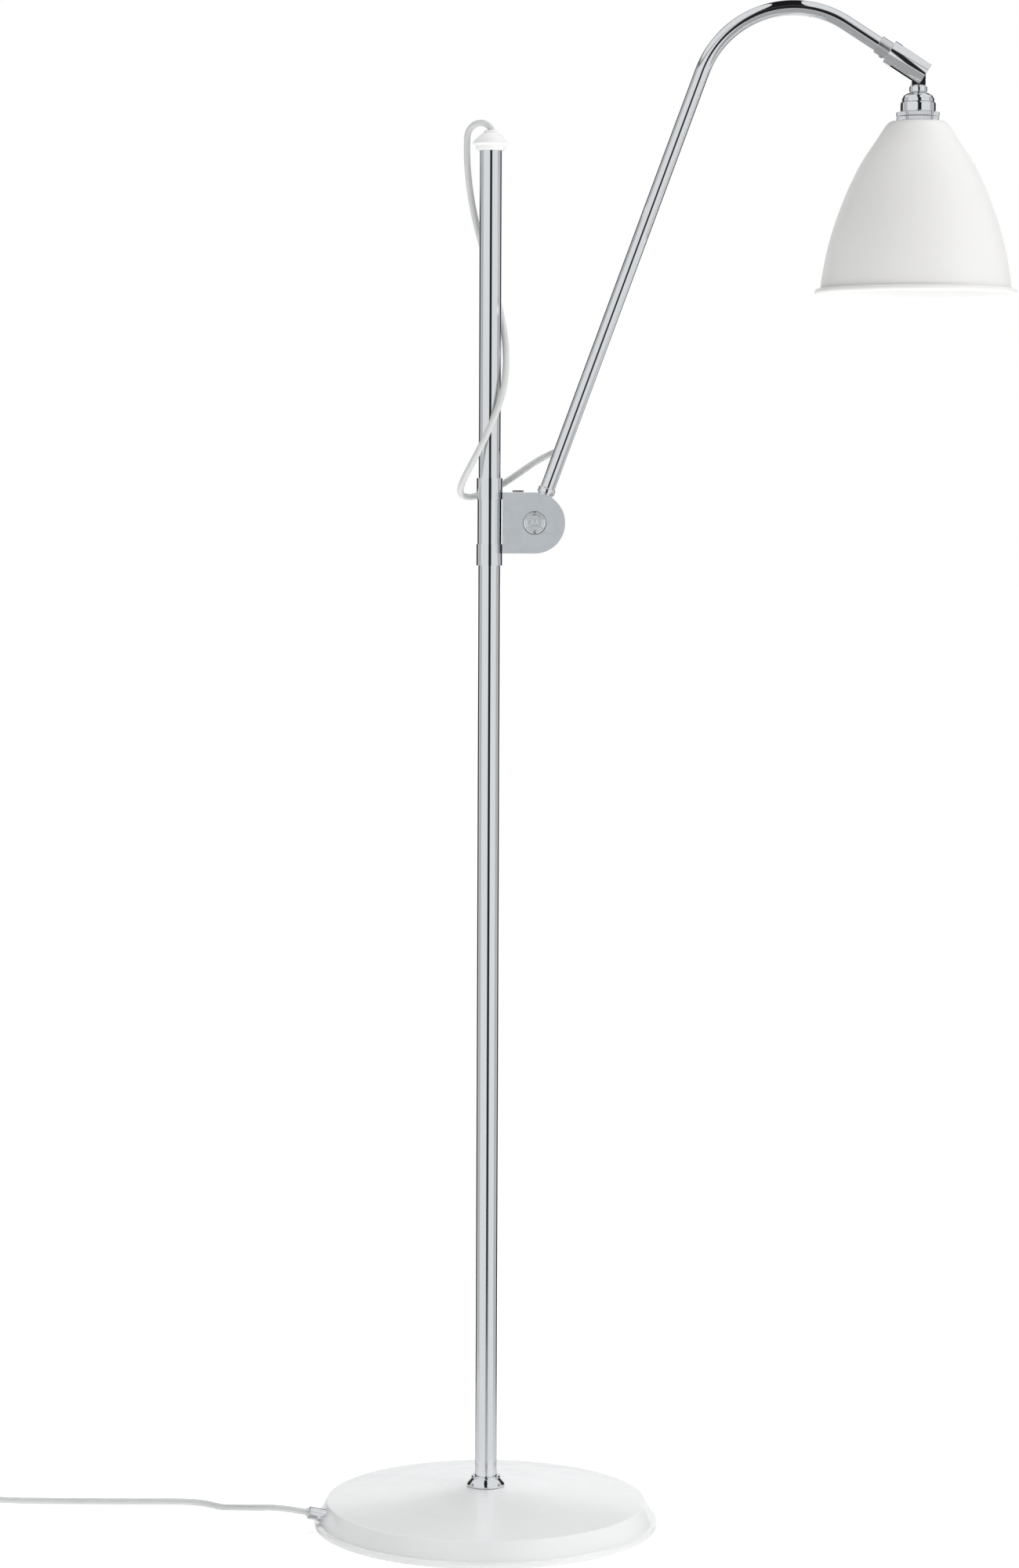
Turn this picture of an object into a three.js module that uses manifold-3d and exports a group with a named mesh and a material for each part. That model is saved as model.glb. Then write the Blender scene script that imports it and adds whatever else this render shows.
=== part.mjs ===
// Arc floor lamp: a weighted round base, a pole, a bracket that slides and turns on the pole, a bent arm
// that tilts in the bracket, and a bell shade on a two-way knuckle.
// Millimetres. +Z is up, +X points from the pole towards the shade, and the origin is on the floor at the
// middle of the base.
import * as THREE from 'three';
import { mergeVertices } from 'three/addons/utils/BufferGeometryUtils.js';
import Module from 'manifold-3d';

const wasm = await Module();
wasm.setup();

// ---------------------------------------------------------------------------------------------------
// Driving dimensions
// ---------------------------------------------------------------------------------------------------
const GAP = 0.3; // between pieces that touch
const COARSE = 12; // sides of small round pieces
const ROUND = 24; // sides of the pole, sleeve, collars and head
const WIDE = 36; // sides of the base and the shade

// Base
const BASE_RADIUS = 140;
const BAND_FOOT_RADIUS = 136.6; // where the band meets the rolled rim
const BAND_TOP_RADIUS = 130;
const RIM_BEAD = 5; // height of the rolled rim
const BAND_TOP = 20;
const BOSS_RADIUS = 35; // change of slope round the pole's foot
const BOSS_EDGE = 31;
const CROWN = 31.9; // flat land under the foot collar
const CROWN_RADIUS = 18;
const COVER_WALL = 1.5;
const PAD_RADIUS = 132;
const PAD_THICKNESS = 2;
const BALLAST_RADIUS = 122;
const BALLAST_THICKNESS = 17;
const BALLAST_SHOULDER = 18; // width of the chamfer that follows the cover
const BALLAST_CHAMFER = 5;
const NUT_POCKET_RADIUS = 14;
const NUT_POCKET_DEPTH = 14;
const NIPPLE_RADIUS = 5;
const NIPPLE_BORE = 3.1;
const NIPPLE_REACH = 24; // above the crown
const CLAMP_NUT_RADIUS = 9;
const CLAMP_NUT_THICKNESS = 4;
const CLAMP_WASHER_RADIUS = 12;
const CLAMP_WASHER_THICKNESS = 1.2;

// Pole and cap
const POLE_RADIUS = 8.9;
const POLE_WALL = 1;
const POLE_TOP = 1116;
const FOOT_COLLAR_RADIUS = 15.5;
const FOOT_COLLAR_LIP = 11.8;
const FOOT_COLLAR_HEIGHT = 8.2;
const CAP_SKIRT_DEPTH = 5.6; // below the pole's top
const CAP_SKIRT_RADIUS = 11.8;
const CAP_FLANGE_RADIUS = 14.3;
const CAP_BOSS_RADIUS = 5.6;
const CAP_HEIGHT = 10.5; // above the pole's top
const CORD_RADIUS = 2.6;

// Bracket, sleeve and pivot
const PIVOT_X = 36.2; // arm pivot, out from the pole's axis
const PIVOT_Z = 815.2;
const HOUSING_RADIUS = 24.3;
const HOUSING_BACK_X = 10.3;
const HOUSING_THICKNESS = 24;
const FRONT_WALL = 4.6;
const REAR_COVER = 2.4;
const SIDE_WALL = 3;
const SLEEVE_WALL = 0.65;
const SLEEVE_CLEARANCE = 0.2;
const COLLAR_CLEARANCE = 0.25;
const COLLAR_WALL = 0.65;
const COLLAR_HEIGHT = 17;
const UPPER_COLLAR_TOP = 850.8;
const LOWER_COLLAR_TOP = 798.1;
const JOURNAL_STEP = 0.15; // the sleeve is this much slimmer inside the collars
const SLEEVE_SLIT = 1.6;
const PIVOT_BOLT_RADIUS = 4;
const PIVOT_HEAD_RADIUS = 6.5;
const PIVOT_HEAD_THICKNESS = 2;
const PIVOT_NUT_RADIUS = 7.5;
const PIVOT_NUT_THICKNESS = 5;
const EMBLEM_RADIUS = 9;
const EMBLEM_SEAT = 1;
const EMBLEM_PROUD = 0.4;
const HUB_ROOM = 1; // beside the hub, for its friction disc
const DISC_THICKNESS = 0.6;
const DISC_MARGIN = 4; // from the disc's edge to the housing's side wall
const COLLAR_SCREW_RADIUS = 2;
const TAB_LENGTH = 8.8; // stop tab on top of the housing
const TAB_WIDTH = 10;
const TAB_THICKNESS = 1.4;
const COVER_SCREW_RADIUS = 1.5;
const COVER_SCREW_HEAD = 3;
const COVER_SCREW_INSET = 5;

// Arm
const ARM_LEAN = 20.14; // degrees from the vertical
const ARM_TILT_BACK = 20; // degrees it can stand up from its stored lean
const ARM_TILT_DOWN = 60; // degrees it can lower
const ARM_RADIUS = 6;
const ARM_WALL = 1;
const ARM_STRAIGHT = 381; // pivot to the start of the bend
const ARM_BEND_RADIUS = 77.4;
const ARM_DROOP = 32.6; // degrees below the horizontal, at the far end
const ARM_TAIL = 34; // straight end after the bend
const ARM_ROOT = 9.6; // where the tube starts, out from the pivot
const ROOT_RING_START = 24.9;
const ROOT_RING_LENGTH = 4.8;
const ROOT_RING_RADIUS = 7.1;
const GROMMET_DISTANCE = 63; // along the arm, from the pivot
const GROMMET_RADIUS = 4.6;

// Knuckle at the end of the arm
const END_COLLAR_START = 30; // after the bend
const END_COLLAR_LENGTH = 10.2;
const END_COLLAR_RADIUS = 7.35;
const BARREL_RADIUS = 9.85;
const BARREL_LENGTH = 33.8;
const BARREL_CHAMFER = 0.5;
const SPIGOT_RADIUS = 4.6;
const SPIGOT_LENGTH = 5.6;
const PIN_DISTANCE = 27.7; // barrel start to the cross pin
const PIN_RADIUS = 2.5;
const PIN_COVER = 1.25; // metal left in front of the pin's blind end
const TONGUE_WIDTH = 11;
const TONGUE_THICKNESS = 8;
const FORK_DEPTH = 27; // slot length, from the barrel's far end

// Head: depths below the cross pin
const BEAD_TOP = 12;
const BEAD_HEIGHT = 5.4;
const BEAD_RADIUS = 7.25;
const STEM_RADIUS = 5;
const STEM_LENGTH = 28;
const HOLDER_CAP_RADIUS = 13;
const HOLDER_CAP_HEIGHT = 7.2;
const HOLDER_SLEEVE_RADIUS = 14.3;
const HOLDER_SLEEVE_HEIGHT = 7.4;
const HOLDER_RADIUS = 12.4;
const HOLDER_LENGTH = 40;
const HOLDER_BORE = 9.2;
const SHADE_RING_RADIUS = 17.2;
const SHADE_RING_HEIGHT = 3.3;
const SHADE_HEIGHT = 137;
const SHADE_WALL = 1.2;
const SHADE_PLATEAU_RADIUS = 21.5;
const SHADE_MOUTH_RADIUS = 76.4;
const SHADE_BEAD = 2.4; // radius of the rolled rim
const BULB_RADIUS = 22.5;
const BULB_BASE_RADIUS = 7;
const BULB_BASE_LENGTH = 22;
const BULB_LENGTH = 78;

// Mains cord fittings
const FERRULE_RADIUS = 5.2;
const FERRULE_BORE = 4.6;
const FERRULE_INSIDE = 6;
const FERRULE_OUTSIDE = 12.8;
const FERRULE_HEIGHT = 12.6;
const FERRULE_TURN = 11; // degrees towards the front from straight left
const FERRULE_RISE = 14; // degrees above the horizontal
const RELIEF_LENGTH = 21;
const COIL_TURN_RADIUS = 31.2; // at the middle of its turns
const COIL_COLUMNS = 5; // widths of cord across the winding
const COIL_LAYERS = 2;
const SWITCH_LENGTH = 84;
const SWITCH_WIDTH = 40;
const SWITCH_BASE_HEIGHT = 10;
const SWITCH_COVER_HEIGHT = 10;
const BUTTON_RADIUS = 13;
const BUTTON_PROUD = 5;
const BUTTON_TRAVEL = 3;
const PLUG_LENGTH = 36;
const PLUG_WIDTH = 35;
const PLUG_THICKNESS = 13.6;
const PLUG_PIN_LENGTH = 19;
const PLUG_PIN_RADIUS = 2;
const PLUG_PIN_SPACING = 18.6;

// ---------------------------------------------------------------------------------------------------
// Finishes
// ---------------------------------------------------------------------------------------------------
const finish = (color, roughness, metalness) => () =>
  new THREE.MeshStandardMaterial({ color, roughness, metalness });
const chrome = finish(0xc9ccd0, 0.12, 1);
const steel = finish(0x9a9da1, 0.4, 1);
const brass = finish(0xc8a860, 0.35, 1);
const castIron = finish(0x4a4b4d, 0.7, 0.6);
const whiteLacquer = finish(0xf2f2f0, 0.2, 0);
const satinWhite = finish(0xe9e7e2, 0.5, 0);
const clearVinyl = finish(0xe3e6e4, 0.4, 0);
const whitePlastic = finish(0xf0f0ee, 0.45, 0);
const blackFibre = finish(0x2b2b2d, 0.8, 0);
const felt = finish(0x3a3a3c, 0.95, 0);
const opalGlass = finish(0xf6f4ee, 0.25, 0);

// ---------------------------------------------------------------------------------------------------
// Geometry helpers
// ---------------------------------------------------------------------------------------------------
const radians = THREE.MathUtils.degToRad;
const UP = new THREE.Vector3(0, 0, 1);
const BACK = new THREE.Vector3(0, 1, 0);
const v3 = (x, y, z) => new THREE.Vector3(x, y, z);

/** A closed solid for booleans, from any closed geometry. */
function solid(geometry) {
  const bare = geometry.clone();
  bare.deleteAttribute('normal');
  bare.deleteAttribute('uv');
  const merged = mergeVertices(bare, 1e-4);
  const position = merged.attributes.position;
  const index = merged.index.array;
  const kept = [];
  for (let i = 0; i < index.length; i += 3) {
    const [a, b, c] = [index[i], index[i + 1], index[i + 2]];
    if (a !== b && b !== c && c !== a) kept.push(a, b, c);
  }
  if (signedVolume(position, kept) < 0) {
    for (let i = 0; i < kept.length; i += 3) {
      [kept[i], kept[i + 1]] = [kept[i + 1], kept[i]];
    }
  }
  const vertProperties = new Float32Array(position.array);
  return new wasm.Manifold(new wasm.Mesh({ numProp: 3, vertProperties, triVerts: new Uint32Array(kept) }));
}

/** Six times the volume that the triangles enclose, negative where they face inwards. */
function signedVolume(position, index) {
  const [a, b, c] = [v3(0, 0, 0), v3(0, 0, 0), v3(0, 0, 0)];
  let total = 0;
  for (let i = 0; i < index.length; i += 3) {
    a.fromBufferAttribute(position, index[i]);
    b.fromBufferAttribute(position, index[i + 1]);
    c.fromBufferAttribute(position, index[i + 2]);
    total += a.dot(b.cross(c));
  }
  return total;
}

/** The geometry of a boolean's result. */
function geometryOf(manifold) {
  const mesh = manifold.getMesh();
  const geometry = new THREE.BufferGeometry();
  geometry.setAttribute('position', new THREE.BufferAttribute(mesh.vertProperties, 3));
  geometry.setIndex(new THREE.BufferAttribute(mesh.triVerts, 1));
  return geometry;
}

/** One body from several overlapping geometries. */
function joined(...geometries) {
  return geometryOf(geometries.map(solid).reduce((whole, piece) => whole.add(piece)));
}

/** The first geometry with the others cut away. */
function cut(body, ...tools) {
  return geometryOf(tools.map(solid).reduce((whole, tool) => whole.subtract(tool), solid(body)));
}

/** A turned solid about +Z, from [radius, height] points in order round its section. */
function turned(points, sides = ROUND) {
  const profile = points.map(([radius, height]) => new THREE.Vector2(radius, height));
  return geometryOf(solid(new THREE.LatheGeometry(profile, sides).rotateX(Math.PI / 2)));
}

/** A solid round bar about +Z. */
function bar(radius, low, high, sides = COARSE) {
  return turned([[0, low], [radius, low], [radius, high], [0, high]], sides);
}

/** A plain tube or washer about +Z. */
function tube(radius, bore, low, high, sides = ROUND) {
  return turned([[bore, low], [radius, low], [radius, high], [bore, high], [bore, low]], sides);
}

/** A six-sided nut about +Z, with a round bore. */
function hexNut(radius, bore, low, high) {
  return cut(bar(radius, low, high, 6), bar(bore, low - 1, high + 1, COARSE));
}

/** A block between two corners. */
function block([x0, y0, z0], [x1, y1, z1]) {
  const box = new THREE.BoxGeometry(x1 - x0, y1 - y0, z1 - z0);
  return box.translate((x0 + x1) / 2, (y0 + y1) / 2, (z0 + z1) / 2);
}

/** A geometry made about +Z, moved to start at a point and run along a direction. */
function aimed(geometry, start, direction) {
  const turn = new THREE.Quaternion().setFromUnitVectors(UP, direction.clone().normalize());
  return geometry.clone().applyQuaternion(turn).translate(start.x, start.y, start.z);
}

/** A round bar or tube swept along a curve. */
function swept(curve, radius, steps, sides, bore = 0) {
  const section = new THREE.Shape(ringPoints(radius, sides));
  if (bore) section.holes.push(new THREE.Path(ringPoints(bore, sides).reverse()));
  const options = { steps, extrudePath: curve, bevelEnabled: false };
  return geometryOf(solid(new THREE.ExtrudeGeometry(section, options)));
}

/** Points of a regular polygon. */
function ringPoints(radius, sides) {
  return Array.from({ length: sides }, (_, i) => {
    const angle = (i * 2 * Math.PI) / sides;
    return new THREE.Vector2(radius * Math.cos(angle), radius * Math.sin(angle));
  });
}

/** A flat plate in the X-Z plane, from an outline, between two values of Y. */
function plate(shape, front, rear, curveSegments = 12) {
  const options = { depth: rear - front, bevelEnabled: false, curveSegments };
  return new THREE.ExtrudeGeometry(shape, options).rotateX(Math.PI / 2).translate(0, rear, 0);
}

/** A horizontal plate with rounded corners, between two heights. */
function roundedSlab(length, width, corner, low, high) {
  const shape = new THREE.Shape();
  const [x, y] = [length / 2, width / 2];
  shape.absarc(x - corner, y - corner, corner, 0, Math.PI / 2);
  shape.absarc(corner - x, y - corner, corner, Math.PI / 2, Math.PI);
  shape.absarc(corner - x, corner - y, corner, Math.PI, 1.5 * Math.PI);
  shape.absarc(x - corner, corner - y, corner, 1.5 * Math.PI, 2 * Math.PI);
  const options = { depth: high - low, bevelEnabled: false, curveSegments: 4 };
  return new THREE.ExtrudeGeometry(shape, options).translate(0, 0, low);
}

const lamp = new THREE.Group();

/** Adds a named piece to the lamp. */
function piece(name, geometry, material) {
  const mesh = new THREE.Mesh(geometry, material());
  mesh.name = name;
  lamp.add(mesh);
}

// ---------------------------------------------------------------------------------------------------
// Base
// ---------------------------------------------------------------------------------------------------
const ferruleDirection = v3(
  -Math.cos(radians(FERRULE_RISE)) * Math.cos(radians(FERRULE_TURN)),
  -Math.cos(radians(FERRULE_RISE)) * Math.sin(radians(FERRULE_TURN)),
  Math.sin(radians(FERRULE_RISE)),
);
const bandShare = (FERRULE_HEIGHT - RIM_BEAD) / (BAND_TOP - RIM_BEAD);
const ferruleReach = THREE.MathUtils.lerp(BAND_FOOT_RADIUS, BAND_TOP_RADIUS, bandShare);
const ferruleSeat = v3(
  -ferruleReach * Math.cos(radians(FERRULE_TURN)),
  -ferruleReach * Math.sin(radians(FERRULE_TURN)),
  FERRULE_HEIGHT,
);
const ballastLow = PAD_THICKNESS + GAP;
const ballastHigh = ballastLow + BALLAST_THICKNESS;
const pocketTop = ballastLow + NUT_POCKET_DEPTH;
const nippleLow = pocketTop - GAP - CLAMP_WASHER_THICKNESS - CLAMP_NUT_THICKNESS;
const innerCordHeight = ballastLow + CORD_RADIUS + GAP;

/** The spun cover: rolled rim, raked band and shallow dome, open underneath. */
function baseCover() {
  const half = RIM_BEAD / 2;
  const lift = GAP; // the rim stays clear of the floor
  const rim = [-60, -20, 20, 60].map((angle) => [
    BASE_RADIUS - half + half * Math.cos(radians(angle)),
    lift + half + (half - lift) * Math.sin(radians(angle)),
  ]);
  const inside = [
    [NIPPLE_RADIUS + GAP, CROWN - COVER_WALL],
    [CROWN_RADIUS, CROWN - COVER_WALL],
    [BOSS_RADIUS, BOSS_EDGE - COVER_WALL],
    [BAND_TOP_RADIUS - COVER_WALL, BAND_TOP - COVER_WALL],
    [BAND_FOOT_RADIUS - COVER_WALL, RIM_BEAD],
    [BAND_FOOT_RADIUS - COVER_WALL, lift],
  ];
  const outside = [
    [BAND_FOOT_RADIUS, RIM_BEAD + lift],
    [BAND_TOP_RADIUS + 0.8, BAND_TOP - 1.6],
    [BAND_TOP_RADIUS - 0.8, BAND_TOP + 0.1],
    [BOSS_RADIUS, BOSS_EDGE],
    [CROWN_RADIUS, CROWN],
    [NIPPLE_RADIUS + GAP, CROWN],
  ];
  const shell = turned([...inside, ...rim, ...outside, inside[0]], WIDE);
  const hole = aimed(bar(FERRULE_RADIUS + GAP, -8, 8, COARSE), ferruleSeat, ferruleDirection);
  return cut(shell, hole);
}

/** The cast disc, with a pocket for the clamp nut and a groove for the lead. */
function baseBallast() {
  const disc = turned([
    [0, ballastLow],
    [BALLAST_RADIUS, ballastLow],
    [BALLAST_RADIUS, ballastHigh - BALLAST_CHAMFER],
    [BALLAST_RADIUS - BALLAST_SHOULDER, ballastHigh],
    [0, ballastHigh],
  ], WIDE);
  const pocket = bar(NUT_POCKET_RADIUS, 0, pocketTop, COARSE);
  const hole = bar(NIPPLE_RADIUS + GAP, 0, CROWN, COARSE);
  const half = CORD_RADIUS + 2 * GAP;
  const groove = block([-BASE_RADIUS, -half, 0], [0, half, FERRULE_HEIGHT + half]);
  groove.rotateZ(radians(FERRULE_TURN));
  return cut(disc, pocket, hole, groove);
}

piece('base_cover', baseCover(), whiteLacquer);
piece('base_ballast', baseBallast(), castIron);
piece('base_pad', bar(PAD_RADIUS, 0, PAD_THICKNESS, WIDE), felt);
piece('base_nipple',
  tube(NIPPLE_RADIUS, NIPPLE_BORE, nippleLow, CROWN + NIPPLE_REACH, COARSE), steel);
piece('clamp_washer',
  tube(CLAMP_WASHER_RADIUS, NIPPLE_RADIUS + GAP, pocketTop - GAP - CLAMP_WASHER_THICKNESS,
    pocketTop - GAP, COARSE), steel);
piece('clamp_nut',
  hexNut(CLAMP_NUT_RADIUS, NIPPLE_RADIUS + GAP, nippleLow,
    pocketTop - 2 * GAP - CLAMP_WASHER_THICKNESS), steel);

// ---------------------------------------------------------------------------------------------------
// Pole, foot collar, cap and the leads inside
// ---------------------------------------------------------------------------------------------------
const poleLow = CROWN + GAP;
const capLow = POLE_TOP - CAP_SKIRT_DEPTH;
const capTop = POLE_TOP + CAP_HEIGHT;

piece('pole_tube', tube(POLE_RADIUS, POLE_RADIUS - POLE_WALL, poleLow, POLE_TOP), chrome);
piece('pole_foot_insert',
  tube(POLE_RADIUS - POLE_WALL - GAP, NIPPLE_RADIUS + GAP, poleLow, poleLow + 20, COARSE), steel);
piece('foot_collar', turned([
  [POLE_RADIUS + GAP, poleLow],
  [FOOT_COLLAR_RADIUS, poleLow],
  [FOOT_COLLAR_RADIUS, poleLow + 1.2],
  [FOOT_COLLAR_RADIUS - 1.3, poleLow + 3.4],
  [FOOT_COLLAR_LIP + 0.5, poleLow + 5.4],
  [FOOT_COLLAR_LIP - 0.5, poleLow + 6.6],
  [FOOT_COLLAR_LIP, poleLow + 7.2],
  [FOOT_COLLAR_LIP - 0.4, poleLow + FOOT_COLLAR_HEIGHT],
  [POLE_RADIUS + GAP, poleLow + FOOT_COLLAR_HEIGHT],
  [POLE_RADIUS + GAP, poleLow],
]), chrome);
piece('pole_cap', turned([
  [POLE_RADIUS + GAP, capLow],
  [CAP_SKIRT_RADIUS - 0.5, capLow],
  [CAP_SKIRT_RADIUS, capLow + 0.8],
  [CAP_SKIRT_RADIUS + 0.3, POLE_TOP - 1.4],
  [CAP_FLANGE_RADIUS, POLE_TOP - 0.6],
  [CAP_FLANGE_RADIUS, POLE_TOP + 0.5],
  [CAP_FLANGE_RADIUS - 1.8, POLE_TOP + 3],
  [CAP_FLANGE_RADIUS - 4.8, POLE_TOP + 5.8],
  [CAP_BOSS_RADIUS + 0.6, capTop - 2.6],
  [CAP_BOSS_RADIUS, capTop - 1.4],
  [CAP_BOSS_RADIUS - 0.8, capTop],
  [CORD_RADIUS + GAP, capTop],
  [CORD_RADIUS + GAP, POLE_TOP + GAP],
  [POLE_RADIUS + GAP, POLE_TOP + GAP],
  [POLE_RADIUS + GAP, capLow],
]), clearVinyl);

const leadTurn = nippleLow + 1; // where the lead is upright in the nipple

/** Straight-left points inside the base, turned to the ferrule's side. */
function insideBase(reach, height) {
  return v3(-reach, 0, height).applyAxisAngle(UP, radians(FERRULE_TURN));
}
const reliefStart = ferruleSeat.clone().addScaledVector(ferruleDirection, -FERRULE_INSIDE);
const baseLeadRoute = new THREE.CatmullRomCurve3([
  reliefStart.clone().addScaledVector(ferruleDirection, -GAP),
  insideBase(119, innerCordHeight + 3.2),
  insideBase(108, innerCordHeight + 0.4),
  insideBase(90, innerCordHeight),
  insideBase(40, innerCordHeight),
  insideBase(8.4, innerCordHeight),
  insideBase(3.4, innerCordHeight + 1),
  insideBase(0.8, innerCordHeight + 3.4),
  v3(0, 0, leadTurn - 0.6),
  v3(0, 0, leadTurn + GAP),
]);
piece('stand_lead', joined(
  swept(baseLeadRoute, CORD_RADIUS, 30, 8),
  bar(CORD_RADIUS, leadTurn, capTop, 8),
), clearVinyl);

// ---------------------------------------------------------------------------------------------------
// Ferrule and strain relief on the base
// ---------------------------------------------------------------------------------------------------
const onFerrule = (geometry) => aimed(geometry, ferruleSeat, ferruleDirection);
piece('cord_ferrule',
  onFerrule(tube(FERRULE_RADIUS, FERRULE_BORE, -FERRULE_INSIDE, FERRULE_OUTSIDE, COARSE)), chrome);
piece('ferrule_nut',
  onFerrule(hexNut(FERRULE_RADIUS + 1.8, FERRULE_RADIUS + GAP, -FERRULE_INSIDE, -FERRULE_INSIDE + 2.4)),
  steel);
const reliefEnd = RELIEF_LENGTH - FERRULE_INSIDE;
piece('strain_relief', onFerrule(turned([
  [CORD_RADIUS + GAP, -FERRULE_INSIDE],
  [FERRULE_BORE - GAP, -FERRULE_INSIDE],
  [FERRULE_BORE - GAP, FERRULE_OUTSIDE - 2],
  [CORD_RADIUS + GAP + 0.9, FERRULE_OUTSIDE + 1],
  [CORD_RADIUS + GAP + 0.4, reliefEnd],
  [CORD_RADIUS + GAP, reliefEnd],
  [CORD_RADIUS + GAP, -FERRULE_INSIDE],
], COARSE)), clearVinyl);

// ---------------------------------------------------------------------------------------------------
// Sleeve and bracket
// ---------------------------------------------------------------------------------------------------
const sleeveBore = POLE_RADIUS + SLEEVE_CLEARANCE;
const sleeveRadius = sleeveBore + SLEEVE_WALL;
const journalRadius = sleeveRadius - JOURNAL_STEP;
const collarBore = journalRadius + COLLAR_CLEARANCE;
const collarRadius = collarBore + COLLAR_WALL;
const upperCollarLow = UPPER_COLLAR_TOP - COLLAR_HEIGHT;
const lowerCollarLow = LOWER_COLLAR_TOP - COLLAR_HEIGHT;
const housingFront = -HOUSING_THICKNESS / 2;
const housingRear = HOUSING_THICKNESS / 2;
const shellRear = housingRear - REAR_COVER - GAP;
const cavityFront = housingFront + FRONT_WALL;
const cavityRadius = HOUSING_RADIUS - SIDE_WALL;
const pivot = v3(PIVOT_X, 0, PIVOT_Z);
const collarScrewPlace = v3(0, 0, LOWER_COLLAR_TOP - COLLAR_HEIGHT / 2);

/** The split sleeve that grips the pole, shouldered between the two collars. */
function slideSleeve() {
  const body = turned([
    [sleeveBore, lowerCollarLow + GAP],
    [journalRadius, lowerCollarLow + GAP],
    [journalRadius, LOWER_COLLAR_TOP + GAP],
    [sleeveRadius, LOWER_COLLAR_TOP + GAP],
    [sleeveRadius, upperCollarLow - GAP],
    [journalRadius, upperCollarLow - GAP],
    [journalRadius, UPPER_COLLAR_TOP - GAP],
    [sleeveBore, UPPER_COLLAR_TOP - GAP],
    [sleeveBore, lowerCollarLow + GAP],
  ]);
  const half = SLEEVE_SLIT / 2;
  const slit = block([-half, 0, lowerCollarLow], [half, 2 * sleeveRadius, UPPER_COLLAR_TOP]);
  return cut(body, slit);
}

/** The D-shaped outline of the bracket, seen from the front. */
function housingOutline() {
  const shape = new THREE.Shape();
  shape.moveTo(HOUSING_BACK_X, PIVOT_Z - HOUSING_RADIUS);
  shape.lineTo(PIVOT_X, PIVOT_Z - HOUSING_RADIUS);
  shape.absarc(PIVOT_X, PIVOT_Z, HOUSING_RADIUS, -Math.PI / 2, Math.PI / 2);
  shape.lineTo(HOUSING_BACK_X, PIVOT_Z + HOUSING_RADIUS);
  return shape;
}

/** A slab with the bracket's outline, between two values of Y. */
const housingPlate = (front, rear) => plate(housingOutline(), front, rear, 16);

/** A bar or tube along +Y through the arm's pivot, between two values of Y. */
const onPivot = (geometry) => aimed(geometry, pivot, BACK);

/** The sector that the arm sweeps, as a solid between two values of Y. */
function armSlot() {
  const spare = 18; // degrees from the arm's axis to the slot's end
  const start = radians(90 - ARM_LEAN + ARM_TILT_BACK + spare);
  const end = radians(90 - ARM_LEAN - ARM_TILT_DOWN - spare);
  const shape = new THREE.Shape();
  shape.absarc(PIVOT_X, PIVOT_Z, HOUSING_RADIUS + 12, end, start);
  shape.absarc(PIVOT_X, PIVOT_Z, cavityRadius - 1, start, end, true);
  const half = ARM_RADIUS + 2 * GAP;
  return plate(shape, -half, half, 16);
}

/** Screw places in the two solid corners behind the cavity. */
const coverScrewPlaces = [1, -1].map((side) => v3(
  HOUSING_BACK_X + COVER_SCREW_INSET,
  0,
  PIVOT_Z + side * (HOUSING_RADIUS - COVER_SCREW_INSET),
));

/** Front wall, side wall and both collars in one casting. */
function bracketShell() {
  const lug = (low, high) => block([HOUSING_BACK_X - 2.5, -6, low], [HOUSING_BACK_X + 1, 6, high]);
  const housingTop = PIVOT_Z + HOUSING_RADIUS;
  const housingBottom = PIVOT_Z - HOUSING_RADIUS;
  const body = joined(
    housingPlate(housingFront, shellRear),
    bar(collarRadius, upperCollarLow, UPPER_COLLAR_TOP, ROUND),
    bar(collarRadius, lowerCollarLow, LOWER_COLLAR_TOP, ROUND),
    lug(upperCollarLow, housingTop),
    lug(housingBottom, LOWER_COLLAR_TOP),
  );
  const screwHoles = coverScrewPlaces.map((place) =>
    aimed(bar(COVER_SCREW_RADIUS + GAP, 0, shellRear + 1, 8), place, BACK));
  return cut(
    body,
    bar(collarBore, lowerCollarLow - 1, UPPER_COLLAR_TOP + 1, ROUND),
    onPivot(bar(cavityRadius, cavityFront, shellRear + 1, 40)),
    onPivot(bar(PIVOT_BOLT_RADIUS + GAP, housingFront - 1, shellRear + 1, COARSE)),
    onPivot(bar(EMBLEM_RADIUS + GAP, housingFront - 1, housingFront + EMBLEM_SEAT, ROUND)),
    onPivot(bar(PIVOT_HEAD_RADIUS + GAP, housingFront - 1,
      housingFront + EMBLEM_SEAT + PIVOT_HEAD_THICKNESS + GAP, ROUND)),
    armSlot(),
    ...screwHoles,
    aimed(bar(COLLAR_SCREW_RADIUS + GAP, 0, collarRadius + 2, 8), collarScrewPlace, BACK),
  );
}

/** The rear plate, with holes for the pivot bolt and two countersunk screws. */
function bracketCover() {
  const holes = coverScrewPlaces.flatMap((place) => [
    aimed(bar(COVER_SCREW_RADIUS + GAP, shellRear, housingRear + 1, 8), place, BACK),
    aimed(bar(COVER_SCREW_HEAD + GAP, housingRear - 1.2, housingRear + 1, COARSE), place, BACK),
  ]);
  return cut(
    housingPlate(housingRear - REAR_COVER, housingRear),
    onPivot(bar(PIVOT_BOLT_RADIUS + GAP, 0, housingRear + 1, COARSE)),
    ...holes,
  );
}

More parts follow.
